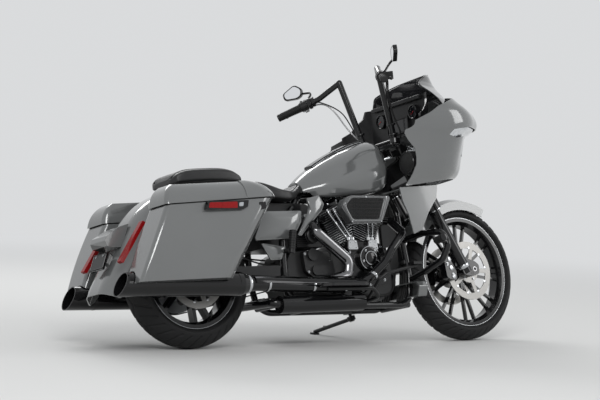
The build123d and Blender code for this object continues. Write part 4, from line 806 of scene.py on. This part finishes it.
def makePushrodCollars(settings):
    # four collars at their shares of each leaning tube
    collars = []
    for footX, topX, topZ in settings["tubes"]:
        foot = np.array((footX, settings["footY"], settings["footZ"]))
        line = np.array((topX, settings["topY"], topZ)) - foot
        collars += [turned(foot + line * share, settings["collar"], 20, line) for share in settings["shares"]]
    makePiece("pushrod_collars", collars, "chrome")


makePushrodCollars(pushrodTrim)


def onCylinder(lean, forward, across, height):
    # a point on a leaning cylinder's own axes taken to the machine's
    x, _, z = cylinderVee["foot"]
    sine, _, cosine = cylinderLine(lean)
    return x + cosine * forward + sine * height, across, z - sine * forward + cosine * height


rockerTrim = {
    "bolts": ((-62, -58), (62, -58), (-62, 58), (62, 58), (0, -68), (0, 68)),
    "boltHeight": 328.4,
    "outline": ((-78, -62), (-50, -78), (50, -78), (78, -62), (78, 62), (50, 78), (-50, 78), (-78, 62)),
    "shrink": 0.79, "beadHeight": 349.5, "bead": 2.2,
    "plugCap": [(0, 40), (7, 40), (8.5, 34), (8.5, 12), (11, 10), (11, 0), (0, 0)],
    "plug": (10, 64, 282),
}


def makeRockerTrim(settings):
    # bolts on each rocker box, a bead a little inside its outline, and the plug caps on both sides
    bolts, beads = [], []
    for lean in (-1, 1):
        spots = [onCylinder(lean, a, b, settings["boltHeight"]) for a, b in settings["bolts"]]
        bolts.append(boltHeads(spots, cylinderLine(lean), 5.5, 6))
        shrink, height = settings["shrink"], settings["beadHeight"]
        corners = [onCylinder(lean, a * shrink, b * shrink, height) for a, b in settings["outline"]]
        bead = roundOutline(settings["bead"], 8)
        beads.append(along(loopPath(corners, 97), bead, up=cylinderLine(lean), closed=True))
    makePiece("rocker_bolts", bolts, "chrome")
    makePiece("rocker_trim", beads, "machined")
    forward, across, height = settings["plug"]
    plugs = [turned(onCylinder(lean, forward * lean, side * across, height), settings["plugCap"], 16,
                    (0, side, 0.35)) for side in (-1, 1) for lean in (1, -1)]
    makePiece("spark_plug_caps", plugs, "softRubber")


makeRockerTrim(rockerTrim)

cleanerShape = {
    "outer": [(-47, 652), (-8, 698), (234, 699), (187, 568), (0, 565)],
    "inner": [(-24, 650), (15, 685), (205, 686), (165, 585), (10, 584)],
    "bolts": [(-30, -250, 660), (96, -252, 693), (219, -250, 692), (176, -250, 574), (4, -250, 572)],
    "back": -245.8,
    "rise": 7.5,
    "rows": 13,
}


def cleanerRibs():
    # leaning bars from the lower to the upper edge, and rows across them between the slanted sides
    ribs = []
    for share in np.linspace(0.06, 0.94, 15):
        low, high = np.array((10 + 152 * share, -248.4, 587)), np.array((14 + 184 * share, -248.4, 683))
        ribs.append(along(straight(low, high), roundOutline(1.3, 6), up=(0, 1, 0)))
    for share in np.linspace(0.14, 0.86, 5):
        z = 585 + 100 * share
        left = np.interp(share, (0, 0.66, 1), (10, -24, 15)) + 3
        right = 162 + 40 * share
        row = straight(np.array((left, -248.9, z)), np.array((right, -248.9, z)))
        ribs.append(along(row, roundOutline(1.0, 6), up=(0, 1, 0)))
    return ribs


def makeCleaner(settings):
    # a soft-edged band between two outlines, its height over the cover a flattened half sine across it;
    # inside it a dark mesh with ribs over it, and bolts round the band
    outer, inner = rounded(settings["outer"], 18, 8), rounded(settings["inner"], 14, 8)
    back = settings["back"]
    share = np.linspace(0, 1, settings["rows"])[:, None]
    flat = outer + (inner - outer) * share[..., None]
    front = np.insert(flat, 1, back - settings["rise"] * np.sin(np.pi * share) ** 0.45, axis=2)
    front[0, :, 1] = front[-1, :, 1] = back + 1.5
    band = gridShape(front, closeRows=True, closeColumns=True)
    makePiece("air_cleaner_frame", [band], "darkPaint", sharp=60)
    makePiece("air_cleaner_mesh", [sidePlate(inner, back + 1, back - 1.4)], "darkMesh", smooth=False)
    makePiece("air_cleaner_ribs", cleanerRibs(), "satinBlack")
    makePiece("air_cleaner_bolts", [boltHeads(settings["bolts"], (0, -1, 0), 4, 3.4)], "machined")


makeCleaner(cleanerShape)
print("engine fittings made")

gearShapes = {
    "tank": {"outline": [(-306, 470), (-306, 640), (-256, 672), (-160, 684), (-112, 660), (-84, 600),
                         (-70, 540), (-70, 470)], "half": 88},
    "starter": {"x": -172, "z": 516, "from": -168, "to": -60, "radius": 36},
}


def makeGearTop(settings):
    # the oil tank on the gearbox as a block with rounded ends and ribs, and the starter's can beside it
    tank = settings["tank"]
    half = tank["half"]
    parts = [sidePlate(rounded(tank["outline"], 14, 6), -half, half)]
    for z in np.linspace(488, 586, 8):
        row = [(x, -half - 1, z) for x in (-302, -200, -104)]
        parts.append(along(row, roundOutline(2.6, 6), up=(0, 1, 0)))
    makePiece("gearbox_tank", parts, "wrinkleBlack", sharp=30)
    x, z, near, far, radius = (settings["starter"][key] for key in ("x", "z", "from", "to", "radius"))
    can = [(0, far), (radius - 4, far), (radius, far - 5), (radius, near + 22), (radius - 3, near + 20),
           (radius - 3, near + 16), (radius, near + 14), (radius, near + 4), (radius - 5, near), (12, near),
           (10, near - 4), (0, near - 4)]
    relay = [(0, far), (18, far), (20, far - 4), (20, near + 26), (16, near + 20), (0, near + 20)]
    parts = [turned((x, 0, z), can, 48), turned((x + 46, 0, z + 26), relay, 32)]
    makePiece("starter_motor", parts, "satinBlack")


makeGearTop(gearShapes)

regulatorShape = {"back": 398, "front": 427, "half": 60, "low": 484, "high": 604, "fins": 13, "finHalf": 1.6}
loomRows = ((-52, 10), (-28, 12), (-2, 9), (22, 12), (48, 10))
oilRows = ((-80, 9), (-62, 9), (-40, 10), (40, 10), (62, 9), (80, 9))


def makeFrontFill(shape):
    # the finned regulator above the oil cooler, and the looms and oil hoses between the down tubes
    back, front, half, low, high, finHalf = (
        shape[key] for key in ("back", "front", "half", "low", "high", "finHalf"))
    seat = front - 14
    box = [(back, low), (back, high), (seat, high), (seat, low)]
    fin = [(seat - 1, low + 4), (seat - 1, high - 4), (front, high - 8), (front, low + 8)]
    fins = [sidePlate(fin, y - finHalf, y + finHalf) for y in np.linspace(4 - half, half - 4, shape["fins"])]
    makePiece("front_regulator", [sidePlate(box, -half, half), *fins], "satinBlack", smooth=False)
    looms = [hose([(400, y * 1.25, 600), (396, y * 1.1, 650), (392, y * 0.85, 700), (380, y * 0.5, 744)],
                  radius, 40, 10, up=(0, 1, 0)) for y, radius in loomRows]
    pipes = [hose([(408, y * 0.8, 470), (426, y * 1.02, 400), (424, y, 340), (412, y, 262), (388, y, 196)],
                  radius, 50, 10, up=(0, 1, 0)) for y, radius in oilRows]
    makePiece("front_looms", looms + pipes, "softRubber")


makeFrontFill(regulatorShape)

# side covers
coverSkins = {
    # outline, distance of its edge from the middle, how far the crown stands out from the edge
    "main": ([(-468, 624), (-262, 628), (-268, 578), (-320, 499), (-536, 489)], 203, 17),
    "small": ([(-484, 474), (-352, 456), (-380, 401), (-437, 397)], 180, 7),
    "knee": ([(-203, 690), (-134, 707), (-110, 667), (-127, 636), (-209, 562), (-251, 516), (-268, 519),
              (-208, 615), (-194, 654)], 180, 10),
}


def crowned(outline, base, crown, rings=14):
    # an outline shrunk towards its middle in rings, each standing further out by one less the share cubed
    flat = rounded(outline, 16, 6)
    middle = flat.mean(0)
    share = np.concatenate(([1.0, 1.0], np.linspace(1, 0.02, rings)[1:]))[:, None]
    height = base + crown * (1 - share ** 3)
    height[0] = base - 3
    return np.insert(middle + (flat - middle) * share[..., None], 1, height, axis=2)


for key, (outline, base, crown) in coverSkins.items():
    skin = crowned(outline, base, crown)
    skins = [gridShape(bySide(skin, sign), closeColumns=True, capped=True) for sign in (-1, 1)]
    makePiece("cover_skin_" + key, skins, "greyPaint", sharp=50)
print("side covers made")

# exhaust
exhaustTrim = {
    "line": (1, 0, -0.007),
    "clampPlace": (-632, 250, 273),
    "pipeClamps": [(-520, -247, 271.6), (-250, -222.6, 265), (-60, -217, 262)],
    "headerClamp": (126, -213.5, 311),
    "baffle": [(0, 0), (20, 0), (24, 6), (51.6, 6)],
    "band": [(56.1, 7), (57.4, 6), (57.4, -6), (56.1, -7)],
    "bandsAt": (-690, -1180),
}


def bandForm(inner, shoulder, outer, half, flat):
    # a band's profile: open inside, with shoulders down from a flat outer face
    return [(inner, half), (shoulder, half), (outer, flat), (outer, -flat), (shoulder, -half), (inner, -half)]


def makeExhaustTrim(settings):
    # turned clamps on the pipes and before the mufflers, a dark inner cone in each tip, and two bands
    line = settings["line"]
    clamps = turnedPair(settings["clampPlace"], bandForm(35, 44, 46, 8, 4), 48, line)
    makePiece("muffler_clamps", clamps, "chrome")
    pipeBand, headerBand = bandForm(34.2, 37.6, 38.4, 6, 3), bandForm(21.4, 24.4, 25, 7, 3)
    clamps = [turned(place, pipeBand, 40, (1, 0.03, 0)) for place in settings["pipeClamps"]]
    clamps.append(turned(settings["headerClamp"], headerBand, 32, (0.76, 0, 0.64)))
    makePiece("pipe_clamps", clamps, "chrome")
    baffles = turnedPair((-1210, 250, 277), settings["baffle"], 40, (-1, 0, 0.006))
    makePiece("muffler_baffles", baffles, "darkMesh")
    bands = [turned((x, sign * 250, 273.4 + (-630 - x) * 0.007), settings["band"], 64, line)
             for sign in (-1, 1) for x in settings["bandsAt"]]
    makePiece("muffler_bands", bands, "glossBlack")


makeExhaustTrim(exhaustTrim)
print("exhaust trim made")

# bags and tail
bagSeal = {"from": -1098, "to": -540, "bends": (-1098, -1040, -600, -540), "reach": (372, 386, 424, 410),
           "proud": 0.6, "height": 643.6, "middle": -816, "slope": math.tan(math.radians(3.34))}
bagPlates = {
    # outline, rounding of its corners, inner and outer distance from the middle, finish
    "bag_latch_": ([(-640, 596), (-640, 634), (-602, 636), (-602, 604)], 6, 417, 424.5, "glossBlack"),
    "marker_bezel_": (
        [(-932, 599), (-919, 634), (-698, 642), (-706, 611), (-736, 597)], 5, 404, 429.2, "glossBlack"),
    "marker_dark_": ([(-920, 604), (-912, 629), (-846, 631), (-850, 603)], 5, 424, 430.4, "redLens"),
    "marker_red_": ([(-850, 603), (-846, 631), (-762, 634), (-764, 604)], 5, 424, 431.6, "redLens"),
    "marker_clear_": ([(-754, 612), (-752, 630), (-728, 632), (-732, 613)], 5, 424, 431.0, "clearLens"),
}


def makeBagTrim(sign, label, seal):
    # a soft seal under the lid's rim, then the lid's lever latch and the side marker lamps
    x = np.linspace(seal["from"], seal["to"], 60)
    y = np.interp(x, seal["bends"], seal["reach"]) + seal["proud"]
    path = np.stack((x, sign * y, seal["height"] + (x - seal["middle"]) * seal["slope"]), -1)
    makePiece("bag_seal_" + label, [along(path, roundOutline(2.0, 8))], "softRubber")
    for name, (outline, radius, low, high, finish) in bagPlates.items():
        makePiece(name + label, [sidePlate(rounded(outline, radius), sign * low, sign * high)], finish,
                  smooth=False)


makeBagTrim(1, "left", bagSeal)
makeBagTrim(-1, "right", bagSeal)

plateTrim = {"half": 60, "drop": (3, 78), "top": (-1257.6, 452), "bottom": (-1289, 376),
             "bolts": ((-34, 14), (34, 14))}


def makePlate(settings):
    # a thin blank plate on the carrier's back face, with a rolled rim and two bolts
    top, bottom = np.array(settings["top"]), np.array(settings["bottom"])
    down = (bottom - top) / np.linalg.norm(bottom - top)
    out = np.array((down[1], -down[0]))
    half, (high, low) = settings["half"], settings["drop"]
    corners = rounded([(-half, high), (half, high), (half, low), (-half, low)], 8)

    def lifted(spots, lift):
        across, drop = np.transpose(spots)
        return np.insert(top + down * drop[:, None] + out * lift, 1, across, axis=1)

    up = (out[0], 0, out[1])
    makePiece("blank_plate", [slab(lifted(corners, 1.5), lifted(corners, 3.5))], "satinBlack", smooth=False)
    rim = loopPath(lifted(corners, 3.5), 120)
    makePiece("plate_rim", [along(rim, roundOutline(1.8, 8), up=up, closed=True)], "glossBlack")
    makePiece("plate_bolts", [boltHeads(lifted(settings["bolts"], 3.6), up, 4.5, 3)], "chrome")


makePlate(plateTrim)


def tailRibs(sign):
    # level bars across the lamp, evenly down its slant
    ribs = []
    for share in np.linspace(0.08, 0.92, 16):
        low = np.array((-1119 - 136 * share, sign * 160.0, 573 - 186 * share))
        rib = [low + (-8, sign * across, 3) for across in (0, 14, 28)]
        ribs.append(along(rib, roundOutline(1.5, 6), up=(0.6, 0, -0.8)))
    return ribs


makePiece("tail_lamp_ribs", bothSides(tailRibs), "redLens")
print("bags and tail made")

# bars, mirrors and fork
barTrim = {
    "end": np.array((93.0, 407, 1225)),
    "straightFrom": np.array((222.0, 243, 1288)),
    "housing": 120,
    "rib": [(18.2, -2), (19.6, -1.6), (19.6, 1.6), (18.2, 2)],
    "ribsFrom": 12, "ribsTo": 108, "ribs": 17,
    "cap": [(18.6, -3), (19.2, -1), (19.2, 2.4), (16, 4.4), (8, 5), (0, 5)],
    "pods": ((48, 30), (68, 26)),
    "knob": [(0, 4), (5, 4), (6, 3), (6, -6), (0, -6)],
    "knobs": ((8, 26, -8), (20, 27, 2), (44, 22, 8)),
    "pivot": [(0, 3), (8, 3), (9.4, 1), (9.4, -16), (8, -18), (0, -18)],
}
barRun = barTrim["end"] - barTrim["straightFrom"]
barLine = barRun / np.linalg.norm(barRun)


def onBar(inwards, sign):
    # a point on the bar's last straight, this far in from its end
    return bySide(barTrim["end"] - barLine * inwards, sign)


def gripRibs(sign):
    # low turned ribs, evenly along the grip
    places = np.linspace(barTrim["ribsFrom"], barTrim["ribsTo"], barTrim["ribs"])
    return [turned(onBar(inwards, sign), barTrim["rib"], 28, bySide(barLine, sign)) for inwards in places]


def pivotPlace(sign):
    # where the lever turns, ahead of the bar
    return onBar(barTrim["housing"], sign) - bySide(barLine, sign) * 6 + (44, 0, 6)


def switchPods(sign):
    # two round housings, three knobs on them, and the arm that carries the lever
    base, line = onBar(barTrim["housing"], sign), bySide(barLine, sign)
    pods = [turned(base - line * back, bandForm(15, radius - 2, radius, -9, -6), 14, line)
            for back, radius in barTrim["pods"]]
    knobs = [turned(base - line * back + (ahead, 0, up), barTrim["knob"], 14, (0.1, 0, 1))
             for back, up, ahead in barTrim["knobs"]]
    arm = [base - line * 14 + (8, 0, 0), base - line * 10 + (26, 0, 4), pivotPlace(sign)]
    return [*pods, *knobs, hose(arm, 9.5, 20, 12)]


def housingBolts(sign):
    # two pairs of small heads above and below the housing
    base, line = onBar(barTrim["housing"], sign), bySide(barLine, sign)
    return [boltHeads([base + line * lift + (6, 0, up * 26)], (0.1, 0, up), 3.4, 3)
            for lift in (-20, -8) for up in (-1, 1)]


makePiece("grip_ribs", bothSides(gripRibs), "softRubber", "steering")
makePiece("grip_caps", turnedPair(onBar(-8, 1), barTrim["cap"], 36, barLine), "satinBlack", "steering")
makePiece("switch_pods", bothSides(switchPods), "glossBlack", "steering", sharp=30)
makePiece("housing_bolts", bothSides(housingBolts), "chrome", "steering")
leverPivots = turnedPair(pivotPlace(1) + (0, 0, 7), barTrim["pivot"], 20, (0, 0, 1))
makePiece("lever_pivots", leverPivots, "chrome", "steering")

mirrorShape = {"centre": (181, 396, 1358), "turn": 34, "pane": (0.84, 0.82), "rim": (0.93, 0.91),
               "outline": [(-54, -2), (14, 40), (54, 12), (50, -24), (24, -38), (-44, -38)]}


def makeMirrors(settings):
    # the mirror's outline drawn in its own plane, shrunk, and set just proud of its backing
    turn = math.radians(settings["turn"])
    flat = rounded(settings["outline"], 16, 6)

    def outwards(sign):
        return np.array((-math.cos(turn), -sign * math.sin(turn), 0))

    def drawn(sign, shrink, lift):
        out = outwards(sign)
        first = np.array((math.sin(turn), -sign * math.cos(turn), 0))
        second = np.cross(out, first)
        wide, tall = (flat * shrink).T[..., None]
        return bySide(settings["centre"], sign) + first * wide + second * tall + out * lift

    def pane(sign):
        return [slab(drawn(sign, settings["pane"], 1.0), drawn(sign, settings["pane"], 2.1))]

    def rim(sign):
        edge = loopPath(drawn(sign, settings["rim"], 0.6), 120)
        return [along(edge, roundOutline(2.4, 8), up=outwards(sign), closed=True)]

    makePiece("mirror_glass", bothSides(pane), "mirrorGlass", "steering", smooth=False)
    makePiece("mirror_rims", bothSides(rim), "glossBlack", "steering")


makeMirrors(mirrorShape)

riserTrim = {"foot": (386, 112, 1002), "line": (-94, 38, 374), "collars": (0.07, 0.2)}
forkTrim = {
    "foot": (757.5, 114, 344),
    "rake": math.radians(29.5),
    # distance up the leg, profile, steps round
    "rings": [
        (346, [(43, -3), (45.2, -2), (45.2, 2), (43, 3)], 48),
        (472, [(43, -3), (45.2, -2), (45.2, 2), (43, 3)], 48),
        (20, [(27.8, -10), (29.4, -8), (29.4, 8), (27.8, 10)], 40),
        (724, [(0, 4), (14, 4), (17, 2), (17, -2), (19.4, -2), (19.4, -8)], 6),
    ],
    "pinch": ((770, 372), (792, 322)),
    "pinchSide": 128.2,
}


def riserCollars(sign):
    # two collars at their shares of the riser
    foot, line = bySide(riserTrim["foot"], sign), bySide(riserTrim["line"], sign)
    collar = bandForm(16, 21, 22.5, -6, -3)
    return [turned(foot + line * share, collar, 32, line) for share in riserTrim["collars"]]


def forkRings(sign):
    # turned rings and a top plug at their distances up the leg
    line = np.array((-math.sin(forkTrim["rake"]), 0, math.cos(forkTrim["rake"])))
    foot = bySide(forkTrim["foot"], sign)
    return [turned(foot + line * up, profile, steps, line) for up, profile, steps in forkTrim["rings"]]


makePiece("riser_collars", bothSides(riserCollars), "glossBlack", "steering")
makePiece("fork_rings", bothSides(forkRings), "chrome", "steering")
pinchBolts = [(x, sign * forkTrim["pinchSide"], z) for x, z in forkTrim["pinch"] for sign in (-1, 1)]
makePiece("fork_pinch_bolts", [boltHeads(pinchBolts, (0, 1, 0), 5, 4)], "machined", "steering")
print("bar fittings made")

# dash and fairing
dialShape = {
    "centre": (514.6, 140, 1150), "radius": 30.5, "sweep": 135, "ticks": 13, "pointer": -118,
    "ring": [(30.8, -1), (30.8, 0.6), (33, 2), (36, 1), (36.4, -1)],
    "needleHub": [(0, 2.4), (3.4, 2), (3.6, 0), (0, 0)],
}
towardsRider = (-1, 0, 0)


def makeDials(settings):
    # flat faces a little behind the glass, tick marks spaced evenly round three quarters of a turn,
    # a needle, and a polished ring round each
    radius, sweep = settings["radius"], settings["sweep"]
    face = [(0, 0.6), (radius, 0.6), (radius, -0.4), (0, -0.4)]

    def off(sign, lift):
        return bySide(settings["centre"], sign) - (lift, 0, 0)

    def spoke(sign, angle, lift, inner, outer, half, thick):
        hub = off(sign, lift)
        way = np.array((0, -math.sin(angle), math.cos(angle))) * radius
        section = [(-half, thick), (half, thick), (half, -thick), (-half, -thick)]
        return along(straight(hub + way * inner, hub + way * outer), section, up=(1, 0, 0))

    def ticks(sign):
        angles = np.radians(np.linspace(-sweep, sweep, settings["ticks"]))
        return [spoke(sign, angle, 1, 0.8 if index % 3 else 0.72, 0.92, 0.7, 0.3)
                for index, angle in enumerate(angles)]

    def needle(sign):
        hub = turned(off(sign, 1.2), settings["needleHub"], 24, towardsRider)
        return [spoke(sign, math.radians(settings["pointer"]), 1.6, 0, 0.8, 0.9, 0.4), hub]

    makePiece("dial_faces", turnedPair(settings["centre"], face, 64, towardsRider), "darkGlass")
    makePiece("dial_ticks", bothSides(ticks), "castAlloy", smooth=False)
    makePiece("dial_needles", bothSides(needle), "redLens", smooth=False)
    makePiece("dial_rings", turnedPair(off(1, 5.4), settings["ring"], 72, towardsRider), "glossBlack")


makeDials(dialShape)
dashGlass = np.insert(rounded([(-82, 1070), (82, 1070), (82, 1130), (-82, 1130)], 5), 0, 516.4, axis=1)
makePiece("dash_screen", [slab(dashGlass, dashGlass + (1.4, 0, 0))], "darkGlass", smooth=False)

speakerShape = {
    "centre": (352.5, 262, 862),
    "cone": [(0, 5), (20, 4.4), (38, 2.6), (51, 0), (51, -6), (0, -6)],
    "ring": [(51, -4), (51, 1.4), (54, 2.6), (58, 2), (60.4, -2)],
}
grilles = turnedPair(speakerShape["centre"], speakerShape["cone"], 64, towardsRider)
rings = turnedPair(speakerShape["centre"], speakerShape["ring"], 72, towardsRider)
makePiece("speaker_grilles", grilles, "darkMesh")
makePiece("speaker_rings", rings, "glossBlack")
print("dash made")

screenShape = {
    # height, centre x, half width, x at the edge
    "levels": [(1155, 818, 300, 584), (1200, 797, 278, 566), (1240, 775, 240, 545), (1281, 752, 192, 524),
               (1309, 738, 152, 566), (1345, 722, 108, 636), (1366, 717, 52, 700), (1372, 716, 12, 715)],
    "footMiddle": 1200, "footDrop": 40, "fall": 2.2, "rows": 49, "columns": 61, "boltRow": 6, "thick": 0.004,
}


def makeScreen(settings):
    # rows rise from the foot to the top; across each row x falls back from the centre with the power of
    # the share of the half width
    levels = np.array(settings["levels"], float)
    share = np.linspace(-1, 1, settings["columns"])[None, :]
    foot = settings["footMiddle"] - settings["footDrop"] * share ** 2
    rise = np.linspace(0, 1, settings["rows"])[:, None]
    height = foot + (levels[-1, 0] - foot) * rise
    centre, half, edge = (np.interp(height, levels[:, 0], levels[:, k]) for k in (1, 2, 3))
    x = centre - (centre - edge) * np.abs(share) ** settings["fall"]
    grid = np.stack((x, half * share, height), -1)
    glass = makePiece("screen_glass", [gridShape(grid)], "smokedScreen", replaced=("windscreen",), sharp=80)
    wall = glass.modifiers.new("wall", "SOLIDIFY")
    wall.thickness = settings["thick"]
    wall.offset = -1
    rim = np.concatenate((grid[::2, 0], grid[-1, ::4], grid[::-2, -1]))
    beading = along(smoothPath(rim[::3], 140), roundOutline(3.0, 8), up=(1, 0, 0.2))
    makePiece("screen_rim", [beading], "glossBlack")
    middle = settings["columns"] // 2
    row = grid[settings["boltRow"]]
    bolts = []
    for out in (-0.25, -0.62, 0.25, 0.62):
        place = row[int(middle + out * middle)] + (3, 0, 1)
        bolts.append(boltHeads([place], (0.85, out * 0.6, 0.3), 5, 3))
    makePiece("screen_bolts", bolts, "chrome")


makeScreen(screenShape)


stripShape = {"points": [(736, 234, 978), (724, 244, 950), (711, 253, 925), (701, 261, 903)],
              "topRadius": 3.6, "footRadius": 1.6, "rows": 24, "sides": 8}


def lampStrip(sign):
    # a bright strip beside the lamp: a circle of one carried along it, then widened by the row's radius
    rows, sides = stripShape["rows"], stripShape["sides"]
    line = smoothPath(bySide(stripShape["points"], sign), rows)
    radius = np.linspace(stripShape["topRadius"], stripShape["footRadius"], rows)[:, None, None]
    points, faces = along(line, roundOutline(1, sides), up=(0.7, sign * -0.7, 0))
    points = (points.reshape(rows, sides, 3) - line[:, None]) * radius + line[:, None]
    return [(points.reshape(-1, 3), faces)]


makePiece("lamp_strips", bothSides(lampStrip), "chrome")
print("screen and lamp trim made")

# foot gear and springs
boardPads = {
    "outline": [(-222, 264), (-246, 320), (-210, 346), (-14, 346), (23, 317), (14, 264)],
    "underside": 259.5, "thick": 4, "ribs": np.linspace(-200, -8, 11), "ribAcross": (272, 304, 336),
    "ribForm": [(-4, -1), (-3, 2.4), (3, 2.4), (4, -1)],
}


def boardPad(sign):
    # a flat pad on the board with ribs straight across it
    low = bySide(np.insert(rounded(boardPads["outline"], 10), 2, boardPads["underside"], axis=1), sign)
    pad = slab(low, low + (0, 0, boardPads["thick"]))
    rows = [[(x, sign * y, 264) for y in boardPads["ribAcross"]] for x in boardPads["ribs"]]
    return [pad, *(along(row, boardPads["ribForm"]) for row in rows)]


makePiece("floorboard_pads", bothSides(boardPad), "softRubber", smooth=False)

pegForms = (
    # inner and outer end, share of the first and last rib, half width of a rib's foot and of its top
    ((424, 352, 462), (416, 428, 468), 0.16, 0.84, 3, 2.4),
    ((-353, 232, 424), (-338, 238, 530), 0.2, 0.88, 4, 3),
)
pegCapForms = (
    # place, profile, direction
    ((415.9, 428.4, 468), [(17.2, -5), (17.6, 0), (12, 1.2), (0, 1.2)], (-8, 76, 6)),
    ((-338, 238, 530), [(17.2, -6), (17.6, -1), (13, 2), (0, 3)], (15, 6, 106)),
)


def pegRibs(sign):
    # seven turned ribs along each peg and pillion peg
    ribs = []
    for inner, outer, first, last, foot, top in pegForms:
        start = bySide(inner, sign)
        line = bySide(outer, sign) - start
        rib = [(16.6, -foot), (19, -top), (19, top), (16.6, foot)]
        ribs += [turned(start + line * share, rib, 28, line) for share in np.linspace(first, last, 7)]
    return ribs


def pegCaps(sign):
    # a shallow turned cap on each end
    return [turned(bySide(place, sign), cap, 32, bySide(line, sign)) for place, cap, line in pegCapForms]


makePiece("peg_ribs", bothSides(pegRibs), "softRubber")
makePiece("peg_caps", bothSides(pegCaps), "glossBlack")
pedalPad = {"across": (-318, -295, -272), "height": 365, "ribs": np.linspace(306, 346, 6),
            "ribForm": [(-3, -1), (-2, 2), (2, 2), (3, -1)]}
pedalRows = [[(x, y, pedalPad["height"]) for y in pedalPad["across"]] for x in pedalPad["ribs"]]
pedalRibs = [along(row, pedalPad["ribForm"]) for row in pedalRows]
makePiece("pedal_pad_ribs", pedalRibs, "softRubber", smooth=False)

springShape = {"low": (-690, 187, 368), "high": (-574, 187, 548), "turns": 9, "radius": 20.4, "wire": 3.4,
               "seat": [(0, -4), (24, -4), (25, 0), (24, 4), (0, 4)]}


def shockSpring(sign):
    # a helix of wire between two seats
    low, high = bySide(springShape["low"], sign), bySide(springShape["high"], sign)
    axis = (high - low) / np.linalg.norm(high - low)
    side = np.array((0, 1.0, 0))
    t = np.linspace(0, 1, 260)[:, None]
    swing = t * 2 * math.pi * springShape["turns"]
    spoke = side * np.cos(swing) + np.cross(axis, side) * np.sin(swing)
    helix = low + (high - low) * t + spoke * springShape["radius"]
    seats = [turned(place, springShape["seat"], 36, axis) for place in (low - axis * 3, high + axis * 3)]
    return [along(helix, roundOutline(springShape["wire"], 8), up=axis), *seats]


makePiece("shock_springs", bothSides(shockSpring), "glossBlack")
frameBolts = boltHeads([(157, -118.4, 214), (207, -118.4, 233), (113, -118.4, 210)], (0, -1, 0), 6, 5)
makePiece("frame_bolts", [frameBolts], "chrome")
print("foot gear made")

# console
consoleTrim = {"points": [(-56, 33.4, 876.5), (60, 33.4, 939), (190, 33.4, 991), (264, 33.4, 1010)],
               "radius": 2.3}
rails = [hose(bySide(consoleTrim["points"], sign), consoleTrim["radius"], 60, 8, up=(0, 0, 1))
         for sign in (-1, 1)]
makePiece("console_trim", rails, "chrome")
print("tank fittings made")

# studio
studio = {"floorSize": 120, "floor": (0.66, 0.66, 0.65), "floorRough": 0.9, "light": (0.93, 0.95, 0.97),
          "lightStrength": 0.62, "seen": (0.7, 0.71, 0.72), "fadeFrom": 2.6, "fadeTo": 7.5}
lamps = {
    # place, target, size, power
    "keyLamp": ((-3.4, -5.0, 4.6), (0, 0, 0.6), (3.4, 2.4), 190),
    "fillLamp": ((4.6, -3.4, 3.0), (0.4, 0, 0.7), (2.6, 2.6), 70),
    "backLamp": ((0.5, 4.6, 4.0), (0, 0, 0.8), (3.6, 1.6), 110),
}


def seenFactor(tree):
    # one where the camera, a gloss or a clear surface looks, nought where light is only gathered
    rays = addNode(tree, "LightPath").outputs
    feeds = {0: rays["Is Camera Ray"], 1: rays["Is Glossy Ray"]}
    direct = addNode(tree, "Math", None, feeds, operation="MAXIMUM").outputs[0]
    feeds = {0: direct, 1: rays["Is Transmission Ray"]}
    return addNode(tree, "Math", None, feeds, operation="MAXIMUM").outputs[0]


def makeStage(settings):
    # a pale sheet that takes the shadow near the machine and fades into the background away from it
    mesh = bpy.data.meshes.new("floor")
    half = settings["floorSize"] / 2
    corners = [(-half, -half, 0), (half, -half, 0), (half, half, 0), (-half, half, 0)]
    mesh.from_pydata(corners, [], [(0, 1, 2, 3)])
    floor = placed("floor", mesh)
    material = bpy.data.materials.new("paleFloor")
    material.use_nodes = True
    tree = material.node_tree
    shader = tree.nodes["Principled BSDF"]
    shader.inputs["Base Color"].default_value = (*settings["floor"], 1)
    shader.inputs["Roughness"].default_value = settings["floorRough"]
    coords = addNode(tree, "TexCoord").outputs["Object"]
    distance = addNode(tree, "VectorMath", None, {0: coords}, operation="LENGTH").outputs["Value"]
    ends = {"From Min": settings["fadeFrom"], "From Max": settings["fadeTo"]}
    fade = addNode(tree, "MapRange", ends, {"Value": distance}, interpolation_type="SMOOTHSTEP")
    feeds = {0: fade.outputs["Result"], 1: seenFactor(tree)}
    both = addNode(tree, "Math", None, feeds, operation="MULTIPLY").outputs[0]
    glow = addNode(tree, "Emission", {"Color": (*settings["seen"], 1)}).outputs[0]
    mix = addNode(tree, "MixShader", None, {"Fac": both, 1: shader.outputs[0], 2: glow})
    tree.links.new(mix.outputs[0], tree.nodes["Material Output"].inputs["Surface"])
    mesh.materials.append(material)


def makeLamp(name, place, target, size, power):
    # a flat lamp facing its target
    data = bpy.data.lights.new(name, "AREA")
    data.shape = "RECTANGLE"
    data.size, data.size_y = size
    data.energy = power
    aim = (Vector(target) - Vector(place)).to_track_quat("-Z", "Y").to_matrix().to_4x4()
    placed(name, data).matrix_world = Matrix.Translation(place) @ aim


def makeWorld(settings):
    # one soft grey for the light it gives, and a paler one where the camera, gloss or glass sees it
    world = bpy.data.worlds.new("studio")
    bpy.context.scene.world = world
    world.use_nodes = True
    tree = world.node_tree
    light = tree.nodes["Background"]
    light.inputs["Color"].default_value = (*settings["light"], 1)
    light.inputs["Strength"].default_value = settings["lightStrength"]
    seen = addNode(tree, "Background", {"Color": (*settings["seen"], 1), "Strength": 1})
    mix = addNode(tree, "MixShader", None, {"Fac": seenFactor(tree), 1: light.outputs[0], 2: seen.outputs[0]})
    tree.links.new(mix.outputs[0], tree.nodes["World Output"].inputs["Surface"])


makeStage(studio)
for name, lampSettings in lamps.items():
    makeLamp(name, *lampSettings)
makeWorld(studio)
bpy.context.scene.view_settings.view_transform = "Standard"
print("studio made")
